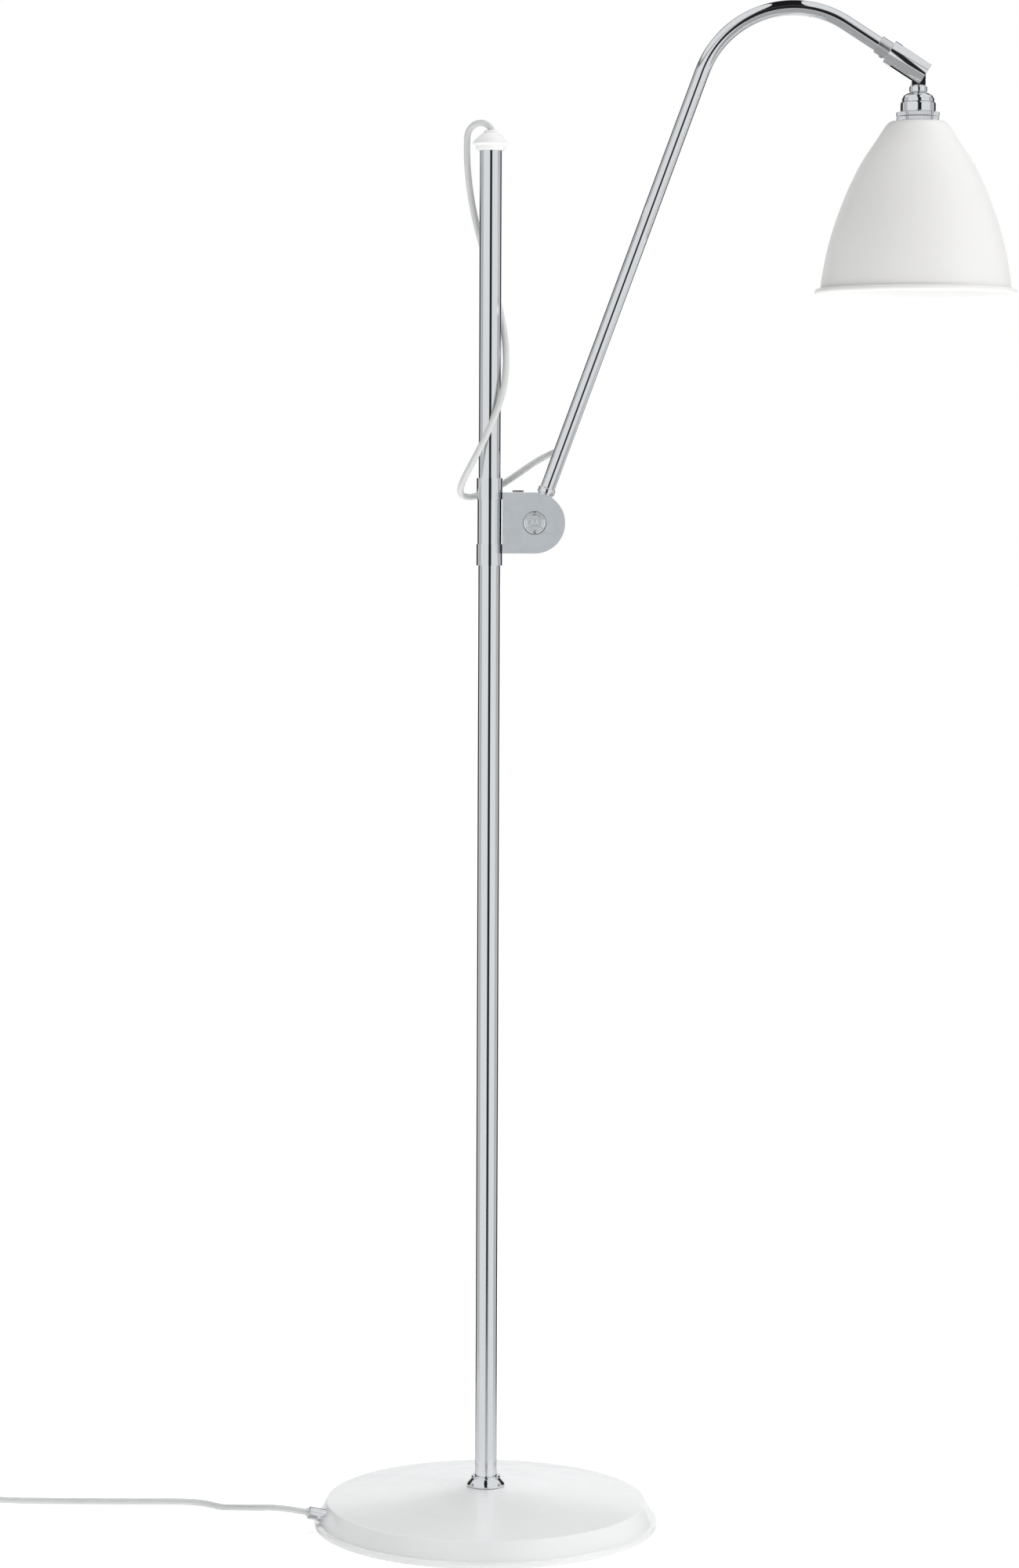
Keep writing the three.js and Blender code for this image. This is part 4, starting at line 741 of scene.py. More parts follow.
def screw_heads(name: str, first: Vector, second: Vector, radius: float, rise: float) -> bpy.types.Object:
    """Two slotted screw heads that face +Y, at two places.

    Args:
        name: The tree's name.
        first: Place of one head's seat.
        second: Place of the other's.
        radius: Radius of a head.
        rise: Height of a head above its seat.

    Returns:
        The pair as an object in millimetres.
    """
    outline = soften([(0, -1.2, 0), (radius * 0.5, -1.2, 0), (radius, 0, 0.15), (radius - 0.3, rise, 0.2),
                      (0, rise, 0)],
                     closed=False)
    head = as_object("screw_head", lathe(outline, 32, closed=False))
    slot = slab([(-radius, -0.4), (radius, -0.4), (radius, 0.4), (-radius, 0.4)], rise - 0.55, rise + 1)
    bevelled(carve(head, [slot]), 0.06, 2)
    tree = Tree(name, STEEL, Turn=0.6)
    ends = tree.add("GeometryNodeMeshLine", {"mode": "END_POINTS"}, Count=2, Start_Location=first,
                    Offset=second)
    model = tree.add("GeometryNodeObjectInfo", {"transform_space": "ORIGINAL"}, Object=head)
    tip = tree.add("ShaderNodeCombineXYZ", X=-math.pi / 2, Y=tree.socket("Turn"))
    copies = tree.add("GeometryNodeInstanceOnPoints", Points=ends.outputs["Mesh"],
                      Instance=model.outputs["Geometry"],
                      Rotation=tip.outputs["Vector"])
    item = tree.mesh(copies.outputs["Instances"])
    bpy.data.objects.remove(head)
    return item


def as_bmesh(item: bpy.types.Object) -> bmesh.types.BMesh:
    """Takes an object's mesh as a bmesh and removes the object."""
    mesh = bmesh.new()
    mesh.from_mesh(item.data)
    bpy.data.objects.remove(item)
    return mesh


# ---------------------------------------------------------------------------------------------------
# Sub-assemblies
# ---------------------------------------------------------------------------------------------------
@dataclass(frozen=True)
class Bend:
    """Two bodies and two points in millimetres that a soft piece runs between; nothing here bends it."""

    first: str
    second: str
    start: Point
    end: Point

    def apply(self, item: bpy.types.Object) -> None:
        """Bakes the placement of a piece that has no parent into its mesh; the piece is not bent."""
        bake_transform(item)


SHARED_FINISHES: dict[str, Finish] = {
    "chrome": CHROME, "steel": STEEL, "brass": BRASS, "cast_iron": CAST_IRON, "white_lacquer": LACQUER,
    "satin_white": ENAMEL, "clear_vinyl": VINYL, "white_plastic": PLASTIC, "fibre": FIBRE, "felt": FELT,
    "opal_glass": OPAL,
}


@dataclass
class SubAssembly:
    """A group of pieces made together; CAD nodes that stay shown are dressed with a finish."""

    carried: tuple[str, ...] = ()
    pieces: dict[str, bpy.types.Object] = field(default_factory=dict)

    def keep(self, item: bpy.types.Object) -> bpy.types.Object:
        """Notes a finished piece under its name and returns it."""
        self.pieces[item.name] = item
        return item

    def build(self) -> None:
        """Makes the fine pieces."""

    def dress(self) -> None:
        """Gives each carried CAD node the finish of its slot."""
        for node in self.carried:
            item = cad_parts[node]
            kind = item.data.materials[0].name.split(".")[0]
            item.data.materials[0] = SHARED_FINISHES[kind].build()
            item.data.set_sharp_from_angle(angle=math.radians(35))
            LOG.info("CAD node %s carried over in %s", node, kind)


@dataclass
class Base(SubAssembly):
    """The domed round foot, its collar and its pad."""

    carried: tuple[str, ...] = ("base_ballast", "base_pad", "base_nipple", "clamp_washer", "clamp_nut",
                                "pole_foot_insert", "ferrule_nut", "stand_lead")
    radius: float = 139.9
    band_foot: float = 136.6
    band_head: float = 129.6
    wall: float = 1.5

    def build(self) -> None:
        """Makes the cover and the collar."""
        outline = soften([
            (5.3, 30.4, 0), (5.3, 31.9, 0.2), (18, 31.9, 3), (35, 31, 6), (90, 25.5, 30),
            (self.band_head, 20.2, 1.6),
            (self.band_foot, 5.3, 0.9), (138.2, 5.3, 0.5), (self.radius, 4.6, 0.9), (self.radius, 1.0, 0.8),
            (138.2, 0.3, 0.4), (135.1, 0.3, 0), (135.1, 5, 0), (128.5, 18.5, 1), (35, 29.5, 0),
            (18, 30.4, 0)], steps=6)
        self.keep(hand_over(lathe(outline, 180), "cover_shell", "stand", LACQUER, ["base_cover"]))
        collar = soften([
            (9.2, 32.2, 0), (15.5, 32.2, 0.3), (15.5, 33.5, 0.5), (14.3, 35.4, 1.5), (12.4, 37.4, 1.5),
            (11.3, 38.6, 0.3), (11.9, 39.2, 0.3), (11.5, 40.4, 0.4), (9.2, 40.4, 0.2)], steps=5)
        self.keep(hand_over(lathe(collar, 96), "foot_flange", "stand", TURNED_CHROME, ["foot_collar"]))


@dataclass
class Ferrule(SubAssembly):
    """The threaded outlet in the side of the foot, and the soft sleeve in it."""

    seat: Point = (-130.81, -25.43, 12.6)
    lean: float = 14.0
    yaw: float = 11.0

    @property
    def direction(self) -> Vector:
        """The way that the outlet points."""
        lean, yaw = math.radians(self.lean), math.radians(self.yaw)
        return Vector((-math.cos(lean) * math.cos(yaw), -math.cos(lean) * math.sin(yaw), math.sin(lean)))

    def tip(self, along: float = 15.3) -> Vector:
        """A point on the outlet's axis."""
        return Vector(self.seat) + self.direction * along

    def build(self) -> None:
        """Makes the outlet and its sleeve."""
        matrix = aim(Vector(self.seat), self.direction)
        ridge = [(5.2 if k % 2 else 4.95, -6 + 0.5 * k, 0) for k in range(1, 9)]
        outline = soften([(4.6, -6, 0), (4.9, -6, 0), *ridge, (5.2, -1.4, 0.1), (5.2, 12.1, 0.6),
                          (4.9, 12.8, 0.4), (4.6, 12.8, 0.1)])
        self.keep(hand_over(placed(lathe(outline, 64), matrix), "outlet_bush", "stand", TURNED_CHROME,
                            ["cord_ferrule"]))
        sleeve = soften([(2.9, -6, 0), (4.3, -6, 0.2), (4.3, 10.6, 0.4), (3.7, 12.6, 0.4), (3.5, 14.2, 0.3),
                         (3.3, 15, 0.3), (2.9, 15, 0)])
        self.keep(hand_over(placed(lathe(sleeve, 48), matrix), "outlet_sleeve", "stand", VINYL,
                            ["strain_relief"]))


@dataclass
class Pole(SubAssembly):
    """The round tube and the soft cap in its top."""

    radius: float = 8.9
    wall: float = 1.0
    low: float = 32.2
    high: float = 1116.0

    def build(self) -> None:
        """Makes the tube and the cap."""
        inner = self.radius - self.wall
        heights = [self.low + (self.high - self.low) * k / 12 for k in range(13)]
        outline = [(self.radius, z) for z in heights] + [(inner, z) for z in reversed(heights)]
        self.keep(hand_over(lathe(outline, 128), "round_pole", "pole", TUBE_CHROME, ["pole_tube"]))
        cap = soften([
            (9.2, 1110.4, 0), (11.3, 1110.4, 0.4), (11.9, 1111.2, 0.5), (12.1, 1114.5, 0.8),
            (14.3, 1115.3, 0.5),
            (14.3, 1116.5, 0.6), (12.5, 1119, 3), (9.5, 1121.8, 4), (6.2, 1123.9, 1.5), (5.6, 1125.1, 0.5),
            (4.8, 1126.5, 0.4), (2.9, 1126.5, 0.3), (2.9, 1116.3, 0), (9.2, 1116.3, 0)], steps=5)
        self.keep(hand_over(lathe(cap, 96), "soft_pole_cap", "pole", CAP_VINYL, ["pole_cap"]))


@dataclass
class Bracket(SubAssembly):
    """The sliding housing that carries the arm."""

    carried: tuple[str, ...] = ("slot_tab", "friction_disc_front", "friction_disc_rear", "spring_washer",
                                "pivot_bolt")
    pivot: Point = (36.2, 0.0, 815.2)
    back: float = 10.3
    radius: float = 24.3
    front: float = -12.0
    rear: float = 9.3
    slit: float = 1.6

    face_depth: float = 0.03  # faces no deeper than this belong to the satin front
    flat_limit: float = 0.985  # an emblem face that looks forward this squarely is satin

    def d_outline(self, grow: float = 0.0) -> list[Ring]:
        """The housing's outline in X and Z: flat at the back, round about the pivot."""
        x, _, z = self.pivot
        reach = self.radius + grow
        curve = arc((x, z), reach, -90, 90, 64)
        return [(self.back - grow, z - reach), *curve, (self.back - grow, z + reach)]

    def across(self, outline: Sequence[Ring], front: float, rear: float) -> bmesh.types.BMesh:
        """Extrudes an outline in X and Z from one Y to another."""
        turn = Matrix(((1, 0, 0, 0), (0, 0, 1, 0), (0, 1, 0, 0), (0, 0, 0, 1)))
        mesh = slab(outline, front, rear)
        mesh.transform(turn)
        bmesh.ops.recalc_face_normals(mesh, faces=mesh.faces)
        return mesh

    def on_pivot(self, mesh: bmesh.types.BMesh, side: int = -1) -> bmesh.types.BMesh:
        """Turns a part made about Z so that its top faces the front (-1) or the rear (+1), on the pivot."""
        return placed(mesh, aim(Vector((self.pivot[0], 0, self.pivot[2])), Vector((0, side, 0))))

    def build(self) -> None:
        """Makes the housing, its covers and its fasteners."""
        x, _, z = self.pivot
        shell = as_object("housing", self.across(self.d_outline(), self.front, self.rear))
        rims = []
        for low, high, lug_low, lug_high in ((833.8, 850.8, 833.8, 839.5), (781.1, 798.1, 790.9, 798.1)):
            rims.append(lathe([(0, low), (10.5, low), (10.5, high), (0, high)], 96, closed=False))
            lug = slab([(7.8, -6), (11.3, -6), (11.3, 6), (7.8, 6)], lug_low, lug_high)
            rims.append(lug)
        carve(shell, rims, "UNION")
        wedge = [(x + 20.3 * math.cos(a), z + 20.3 * math.sin(a)) for a in
                 [math.radians(-8.14 + 116 * k / 16) for k in range(17)]]
        wedge += [(x + 32 * math.cos(a), z + 32 * math.sin(a)) for a in
                  [math.radians(107.86 - 116 * k / 16) for k in range(17)]]
        cavity = arc((x, z), 21.3, 0, 356.25, 95)
        bore = lathe([(0, 770), (9.85, 770), (9.85, 860), (0, 860)], 96, closed=False)
        mark = placed(lathe([(0, -1), (0.7, -1), (0.7, 8), (0, 8)], 16, closed=False),
                      Matrix.Translation((8.3, -9.0, 842.6)))
        seat = self.on_pivot(lathe([(0, 11.0), (9.3, 11.0), (9.3, 13), (0, 13)], 64, closed=False))
        carve(shell, [bore, self.across(cavity, -7.4, 9.4), self.across(wedge, -6.6, 6.6), mark, seat])
        bevelled(shell, 0.7, 4)
        self.keep(hand_over(shell, "hinge_housing", "bracket", SATIN_CHROME, ["bracket_shell"], [CHROME]))
        self._polish(self.pieces["hinge_housing"])

        plate = as_object("plate", self.across(self.d_outline(), 9.6, 12.0))
        sinks = []
        for height in (834.5, 795.9):
            sink = lathe([(0, 5), (1.75, 5), (1.75, 10.9), (3.3, 11.1), (3.3, 14), (0, 14)], 32, closed=False)
            sinks.append(placed(sink, aim(Vector((15.3, 0, height)), Vector((0, 1, 0)))))
        sinks.append(self.on_pivot(lathe([(0, 5), (4.35, 5), (4.35, 14), (0, 14)], 48, closed=False), 1))
        bevelled(carve(plate, sinks), 0.4, 3)
        self.keep(hand_over(plate, "rear_plate", "bracket", SATIN_CHROME, ["bracket_cover"]))

        screws = screw_heads("plate_screws", Vector((15.3, 11.25, 834.5)), Vector((15.3, 11.25, 795.9)),
                             2.95, 0.8)
        self.keep(hand_over(screws, "plate_screws", "bracket", STEEL, ["cover_screw_1", "cover_screw_2"]))

        nut = as_object("nut", slab([(7.5 * math.cos(TURN * k / 6),
                                      7.5 * math.sin(TURN * k / 6)) for k in range(6)],
                                    12.3, 17.3))
        dome = lathe([(0, 11), (7.6, 11), (7.6, 16.3), (6.2, 17.3), (0, 17.3)], 48, closed=False)
        carve(nut, [dome], "INTERSECT")
        carve(nut, [lathe([(0, 10), (4.3, 10), (4.3, 20), (0, 20)], 48, closed=False)])
        bevelled(nut, 0.25, 2)
        nut.data.transform(aim(Vector((x, 0, z)), Vector((0, 1, 0))))
        self.keep(hand_over(nut, "hex_pivot_nut", "bracket", CHROME, ["pivot_nut"]))

        gap = math.asin(self.slit / 2 / 9.7)
        sleeve = soften([(9.1, 781.4, 0.1), (9.6, 781.4, 0.1), (9.6, 798.4, 0), (9.75, 798.4, 0),
                         (9.75, 833.5, 0), (9.6, 833.5, 0), (9.6, 850.5, 0.1), (9.1, 850.5, 0.1)])
        part = lathe(sleeve, 96, start=math.pi + gap, sweep=TURN - 2 * gap)
        self.keep(hand_over(part, "split_sleeve", "bracket", TUBE_CHROME, ["slide_sleeve"]))

        screw = lathe([(0, 10.05), (2, 10.05), (2, 11.5), (1.6, 11.9), (0.9, 11.9), (0.9, 11.0), (0, 11.0)],
                      24, closed=False)
        self.keep(hand_over(placed(screw, aim(Vector((0, 0, 789.6)), Vector((0, 1, 0)))), "collar_grub_screw",
                            "bracket", STEEL, ["collar_screw"]))
        self._emblem()

    def _polish(self, item: bpy.types.Object) -> None:
        """Gives every face but the flat front the polished finish."""
        for polygon in item.data.polygons:
            if polygon.center.y > (self.front + self.face_depth) * MM:
                polygon.material_index = 1

    def _emblem(self) -> None:
        """Makes the round cap on the front, with raised rings and a wreath of petals."""
        outline = soften([
            (0, 11.3, 0), (9.0, 11.3, 0.1), (9.0, 12.0, 0.35), (8.4, 12.7, 0.4), (7.6, 12.0, 0.3),
            (6.9, 12.0, 0.2), (6.5, 12.4, 0.2), (6.0, 11.95, 0.2), (2.7, 11.95, 0.2), (2.1, 12.5, 0.4),
            (0, 12.6, 0)], closed=False)
        disc = self.on_pivot(lathe(outline, 72, closed=False))
        petals = bead_wreath("petal_wreath", CHROME, 10, 4.35, 0.62, 2.0)
        wreath = as_bmesh(petals)
        wreath.transform(Matrix.Translation((0, 0, 12.05)))
        item = merged(disc, self.on_pivot(wreath))
        self.keep(hand_over(item, "rosette_cap", "bracket", SATIN_CHROME, ["emblem_cap"], [CHROME]))
        for polygon in self.pieces["rosette_cap"].data.polygons:
            polygon.material_index = int(abs(polygon.normal.y) < self.flat_limit)


@dataclass
class Arm(SubAssembly):
    """The bent tube from the bracket to the shade's knuckle."""

    carried: tuple[str, ...] = ("arm_hub", "arm_lead", "end_set_screw")
    pivot: Point = (36.2, 0.0, 815.2)
    lean: float = 20.14
    straight: tuple[float, float] = (9.6, 381.0)
    centre: Point = (240.05, 0.0, 1146.25)
    bend_radius: float = 77.4
    turn: float = 102.46
    tail: float = 34.0
    radius: float = 6.0
    wall: float = 1.0

    @property
    def up(self) -> Vector:
        """The way that the straight part leans."""
        lean = math.radians(self.lean)
        return Vector((math.sin(lean), 0, math.cos(lean)))

    @property
    def out(self) -> Vector:
        """The way that the tail points."""
        return Vector((0.842452, 0, -0.538771))

    def along(self, distance: float) -> Vector:
        """A point on the straight part."""
        return Vector(self.pivot) + self.up * distance

    def line(self) -> list[Vector]:
        """The tube's centre line."""
        first, last = self.straight
        points = [self.along(first + (last - first) * k / 16) for k in range(16)]
        first = math.radians(180 - self.lean)
        for k in range(49):
            angle = first - math.radians(self.turn) * k / 48
            points.append(Vector(self.centre) + Vector((math.cos(angle), 0,
                                                        math.sin(angle))) * self.bend_radius)
        end = points[-1].copy()
        points += [end + self.out * self.tail * k / 3 for k in (1, 2, 3)]
        return points

    def build(self) -> None:
        """Makes the tube, its rings and its grommet."""
        tube = as_object("tube", sweep(self.line(), self.radius, 48, self.radius - self.wall))
        angle = math.radians(180 - self.lean - 80)
        foot = Vector(self.centre) + Vector((math.cos(angle), 0, math.sin(angle))) * (self.bend_radius - 8)
        hole = lathe([(0, 0), (1.1, 0), (1.1, 6), (0, 6)], 24, closed=False)
        side = lathe([(0, 0), (3.9, 0), (3.9, 12), (0, 12)], 32, closed=False)
        carve(tube, [placed(hole, aim(foot, (foot - Vector(self.centre)).normalized())),
                     placed(side, aim(self.along(63), Vector((0, 1, 0))))])
        for polygon in tube.data.polygons:
            polygon.use_smooth = True
        tube.data.set_sharp_from_angle(angle=math.radians(38))
        self.keep(hand_over(tube, "bent_arm_tube", "arm", TURNED_CHROME, ["arm_tube"]))

        ring = soften([(6.3, 24.9, 0.1), (6.9, 24.9, 0.3), (7.1, 25.4, 0.3), (7.1, 29.2, 0.4),
                       (6.7, 29.7, 0.3), (6.3, 29.7, 0.1)])
        self.keep(hand_over(placed(lathe(ring, 64), aim(Vector(self.pivot), self.up)), "root_trim_ring",
                            "arm", CHROME, ["arm_root_ring"]))
        collar = as_object("collar", lathe([(6.3, 30), (7.35, 30), (7.35, 40.2), (6.3, 40.2)], 64))
        bevelled(collar, 0.25, 3)
        end = self.line()[-4]
        collar.data.transform(aim(end, self.out))
        self.keep(hand_over(collar, "tube_end_collar", "arm", COLLAR_CHROME, ["arm_end_collar"]))
        plug = soften([(2.75, 5.6, 0), (3.8, 5.6, 0.1), (3.8, 6.3, 0.1), (4.6, 6.35, 0.3), (4.6, 7.4, 0.5),
                       (3.7, 9.4, 0.4), (2.75, 9.4, 0.2)])
        self.keep(hand_over(placed(lathe(plug, 48), aim(self.along(63), Vector((0, 1, 0)))),
                            "arm_cord_grommet", "arm", VINYL, ["arm_grommet"]))


@dataclass
class Knuckle(SubAssembly):
    """The forked barrel at the arm's end and the pin across it."""

    start: Point = (315.872, 0.0, 1189.639)
    direction: Point = (0.842452, 0.0, -0.538771)
    pin: Point = (339.2075, 0.0, 1174.715)
    length: float = 33.8
    radius: float = 9.85
    slot: float = 4.3

    def build(self) -> None:
        """Makes the barrel, the pin and its nut."""
        outline = soften([(0, -5.6, 0), (4.6, -5.6, 0.3), (4.6, 0, 0), (self.radius, 0, 0.35),
                          (self.radius, self.length, 0.35), (0, self.length, 0)],
                         closed=False)
        barrel = as_object("barrel", lathe(outline, 96, closed=False))
        low = self.length - 27
        cut = slab([(-12, -self.slot), (12, -self.slot), (12, self.slot), (-12, self.slot)], low,
                   self.length + 2)
        carve(barrel, [cut])
        bevelled(barrel, 0.25, 3, 40)
        barrel.data.transform(aim(Vector(self.start), Vector(self.direction)))
        self.keep(hand_over(barrel, "forked_barrel", "knuckle", CHROME, ["knuckle_barrel"]))
        pin = [(0, -8.6), (2.5, -8.6), (2.5, 11.3), (2.2, 11.5), (0, 11.5)]
        self.keep(hand_over(placed(lathe(pin, 48, closed=False), aim(Vector(self.pin), Vector((0, 1, 0)))),
                            "cross_pin", "knuckle", STEEL, ["knuckle_pin"]))
        nut = as_object("nut", slab([(4.3 * math.cos(TURN * k / 6),
                                      4.3 * math.sin(TURN * k / 6)) for k in range(6)],
                                    10.15, 11.75))
        carve(nut, [lathe([(0, 9), (2.7, 9), (2.7, 13), (0, 13)], 32, closed=False)])
        bevelled(nut, 0.2, 2)
        nut.data.transform(aim(Vector(self.pin), Vector((0, 1, 0))))
        self.keep(hand_over(nut, "cross_pin_nut", "knuckle", CHROME, ["knuckle_pin_nut"]))


@dataclass
class Head(SubAssembly):
    """Everything that hangs from the pin: the lamp holder, its rings, the bulb and the shade."""

    carried: tuple[str, ...] = ("holder_insert", "holder_contact")
    pin: Point = (339.2075, 0.0, 1174.715)
    rim_radius: float = 2.4
    wall: float = 1.2

    def below(self, mesh: bmesh.types.BMesh) -> bmesh.types.BMesh:
        """Moves a part made about Z, its heights measured up from the pin, to the head's axis."""
        return placed(mesh, Matrix.Translation(Vector(self.pin)))

    def build(self) -> None:
        """Makes the holder, the rings, the bulb and the shade."""
        self._stem()
        self._holder()
        self._rings()
        self._bulb()
        self._shade()

    def _stem(self) -> None:
        """Makes the flat-eyed stem and the round nut under it."""
        eye = lathe([(0, -4), (5.5, -4), (5.5, 4), (0, 4)], 64, closed=False)
        stem = as_object("stem", placed(eye, aim(Vector(), Vector((0, 1, 0)))))
        tongue = slab([(-5.5, -4), (5.5, -4), (5.5, 4), (-5.5, 4)], -11.7, 0)
        rod = lathe([(0, -28), (5, -28), (5, -11.5), (0, -11.5)], 48, closed=False)
        carve(stem, [tongue, rod], "UNION")
        pin_bore = placed(lathe([(0, -6), (2.7, -6), (2.7, 6), (0, 6)], 32, closed=False),
                          aim(Vector(), Vector((0, 1, 0))))
        bore = lathe([(0, -30), (3, -30), (3, -8), (0, -8)], 32, closed=False)
        bevelled(carve(stem, [pin_bore, bore]), 0.35, 3)
        stem.data.transform(Matrix.Translation(Vector(self.pin)))
        self.keep(hand_over(stem, "eyed_stem", "shade", CHROME, ["shade_stem"]))
        nut = soften([(5.3, -17.4, 0.2), (6.7, -17.4, 0.5), (7.25, -16.4, 0.9), (7.25, -13.2, 0.9),
                      (6.5, -12, 0.6), (5.3, -12, 0.2)], steps=4)
        self.keep(hand_over(self.below(lathe(nut, 64)), "round_stem_nut", "shade", TURNED_CHROME,
                            ["stem_nut"]))

    def _holder(self) -> None:
        """Makes the domed cap, the sleeve and the moulded body of the lamp holder."""
        cap = soften([(5.3, -17.7, 0.2), (7, -17.7, 0.8), (9, -18.2, 1.5), (11.9, -19.9, 2.5),
                      (13, -22.1, 1.5),
                      (13, -24.9, 0.3), (12.1, -24.9, 0.1), (12.1, -21.4, 1), (9, -19.2, 1), (5.3, -18.7, 0)],
                     steps=5)
        self.keep(hand_over(self.below(lathe(cap, 96)), "domed_holder_cap", "shade", CHROME, ["holder_cap"]))
        sleeve = soften([(12.7, -25.2, 0.1), (14.0, -25.2, 0.4), (14.3, -26, 0.5), (14.3, -32.0, 0.5),
                         (14.0, -32.6, 0.3), (12.7, -32.6, 0.1)], steps=4)
        self.keep(hand_over(self.below(lathe(sleeve, 96)), "plain_holder_sleeve", "shade", TURNED_CHROME,
                            ["holder_sleeve"]))
        thread = [(12.4 if k % 2 else 12.05, -28.0 - 0.6 * k) for k in range(1, 33)]
        body = [(9.2, -27.4), (12.4, -27.4), *thread, (12.4, -50), (12.2, -66.6), (11.6, -67.2), (9.2, -67.2)]
        self.keep(hand_over(self.below(lathe(body, 72)), "moulded_holder_body", "shade", PLASTIC,
                            ["holder_body"]))
        ring = soften([(12.7, -45.6, 0.2), (17.0, -45.6, 0.6), (17.4, -44.9, 0.5), (17.4, -42, 0.4),
                       (17, -41.6, 0.3), (12.7, -41.6, 0.1)])
        self.keep(hand_over(self.below(lathe(ring, 72)), "shade_lock_ring", "shade", PLASTIC,
                            ["shade_retaining_ring"]))

    def _rings(self) -> None:
        """Makes the two knurled rings above the shade."""
        for name, node, radius, low, high in (("upper_knurled_ring", "shade_ring_upper", 17.2, -36.2, -32.9),
                                              ("lower_knurled_ring", "shade_ring_lower", 16.9, -39.8, -36.5)):
            ring = knurled_ring(name, radius, 12.7, high - low, 72, 0.5)
            ring.data.transform(Matrix.Translation(Vector(self.pin) + Vector((0, 0, (low + high) / 2))))
            self.keep(hand_over(ring, name, "shade", TURNED_CHROME, [node]))

    def _bulb(self) -> None:
        """Makes the bulb's glass and its screw base."""
        turns = [(7.0 if k % 2 else 6.3, -44.5 - 0.95 * k) for k in range(1, 15)]
        base = [(0, -41.2), (2.6, -41.2), (3.0, -41.9), (5.6, -42.9), (6.4, -43.8), *turns, (6.9, -60),
                (7, -63.0), (0, -63.0)]
        self.keep(hand_over(self.below(lathe(base, 64, closed=False)), "bulb_screw_base", "shade", BRASS,
                            ["bulb_base"]))
        centre = -96.7
        glass = [(0, -63.5), (6.6, -63.5), (6.9, -64.2), (8.4, -70), (11.5, -76.2), (15.2, -80.6)]
        ball = [(22.35 * math.cos(math.radians(a)), centre + 22.35 * math.sin(math.radians(a)))
                for a in range(45, -91, -5)]
        glass += [(max(r, 0), z) for r, z in ball[1:-1]] + [(0, centre - 22.35)]
        self.keep(hand_over(self.below(lathe(glass, 96, closed=False)), "opal_bulb", "shade", OPAL,
                            ["bulb_glass"]))

    def _shade(self) -> None:
        """Makes the bell with its flat top and rolled rim."""
        outside = [(21.5, 0), (25.4, 3.2), (33.8, 16.2), (43.6, 31), (53.2, 50), (62.2, 72.4), (69.4, 95.6),
                   (74, 117.5), (76.4, 134.6)]
        top = -40.1
        curve = curve_points([Vector((r, 0, top - d)) for r, d in outside[1:]], 3.0)
        skin: list[Ring] = [(12.9, top), (19.5, top), (21.5, top - 0.15), (22.9, top - 0.8),
                            (24.2, top - 1.9)]
        skin += [(p.x, p.z) for p in curve]
        bead = (78.05, top - 134.5)
        skin += arc(bead, self.rim_radius, 165, -170, 22)
        inner: list[Ring] = []
        for i in range(len(curve) - 1, -1, -1):
            ahead = curve[min(i + 1, len(curve) - 1)] - curve[max(i - 1, 0)]
            normal = Vector((ahead.z, 0, -ahead.x)).normalized() * self.wall
            inner.append((curve[i].x + normal.x, curve[i].z + normal.z))
        skin += inner[1:] + [(21.0, top - self.wall - 0.5), (12.9, top - self.wall)]
        mesh = self.below(lathe(skin, 160))
        shade = self.keep(hand_over(mesh, "bell_shade", "shade", ENAMEL, ["shade"], [ENAMEL_INSIDE], 50))
        axis = Vector(self.pin) * MM
        for polygon in shade.data.polygons:
            outward = polygon.center - axis
            if polygon.normal.x * outward.x + polygon.normal.y * outward.y < 0:
                polygon.material_index = 1


@dataclass
class FootSwitch(SubAssembly):
    """The foot switch on the mains cord."""

    centre: Point = (-480.0, 54.0, 0.0)

    def build(self) -> None:
        """Makes the case's two halves and the button."""
        move = Matrix.Translation(Vector(self.centre))
        low = as_object("case", slab(box_outline(84, 40, 14, 10), 0, 10))
        bevelled(low, 1.2, 4)
        low.data.transform(move)
        self.keep(hand_over(low, "switch_lower_case", "stand", PLASTIC, ["switch_base"]))
        high = as_object("cover", slab(box_outline(84, 40, 14, 10), 10.3, 20.3))
        well = lathe([(0, 14.3), (13.3, 14.3), (13.3, 24), (0, 24)], 96, closed=False)
        bevelled(carve(high, [well]), 2.4, 6)
        ribs = as_bmesh(rib_row("switch_grips", PLASTIC, 5, 2.4, (0.9, 16.0, 1.0)))
        ribs.transform(Matrix.Translation((-27.5, 0, 20.3)))
        other = ribs.copy()
        other.transform(Matrix.Translation((55, 0, 0)))
        top = as_bmesh(high)
        whole = as_object("cover", merged(top, ribs, other))
        for polygon in whole.data.polygons:
            polygon.use_smooth = True
        whole.data.set_sharp_from_angle(angle=math.radians(38))
        whole.data.transform(move)
        self.keep(hand_over(whole, "switch_upper_case", "stand", PLASTIC, ["switch_cover"]))
        button = soften([(0, 17.6, 0), (13, 17.6, 0.2), (13, 23.4, 1.6), (11, 24.9, 2), (0, 25.3, 0)],
                        closed=False, steps=6)
        self.keep(hand_over(placed(lathe(button, 96, closed=False), move), "round_push_button", "button",
                            PLASTIC, ["switch_button"]))


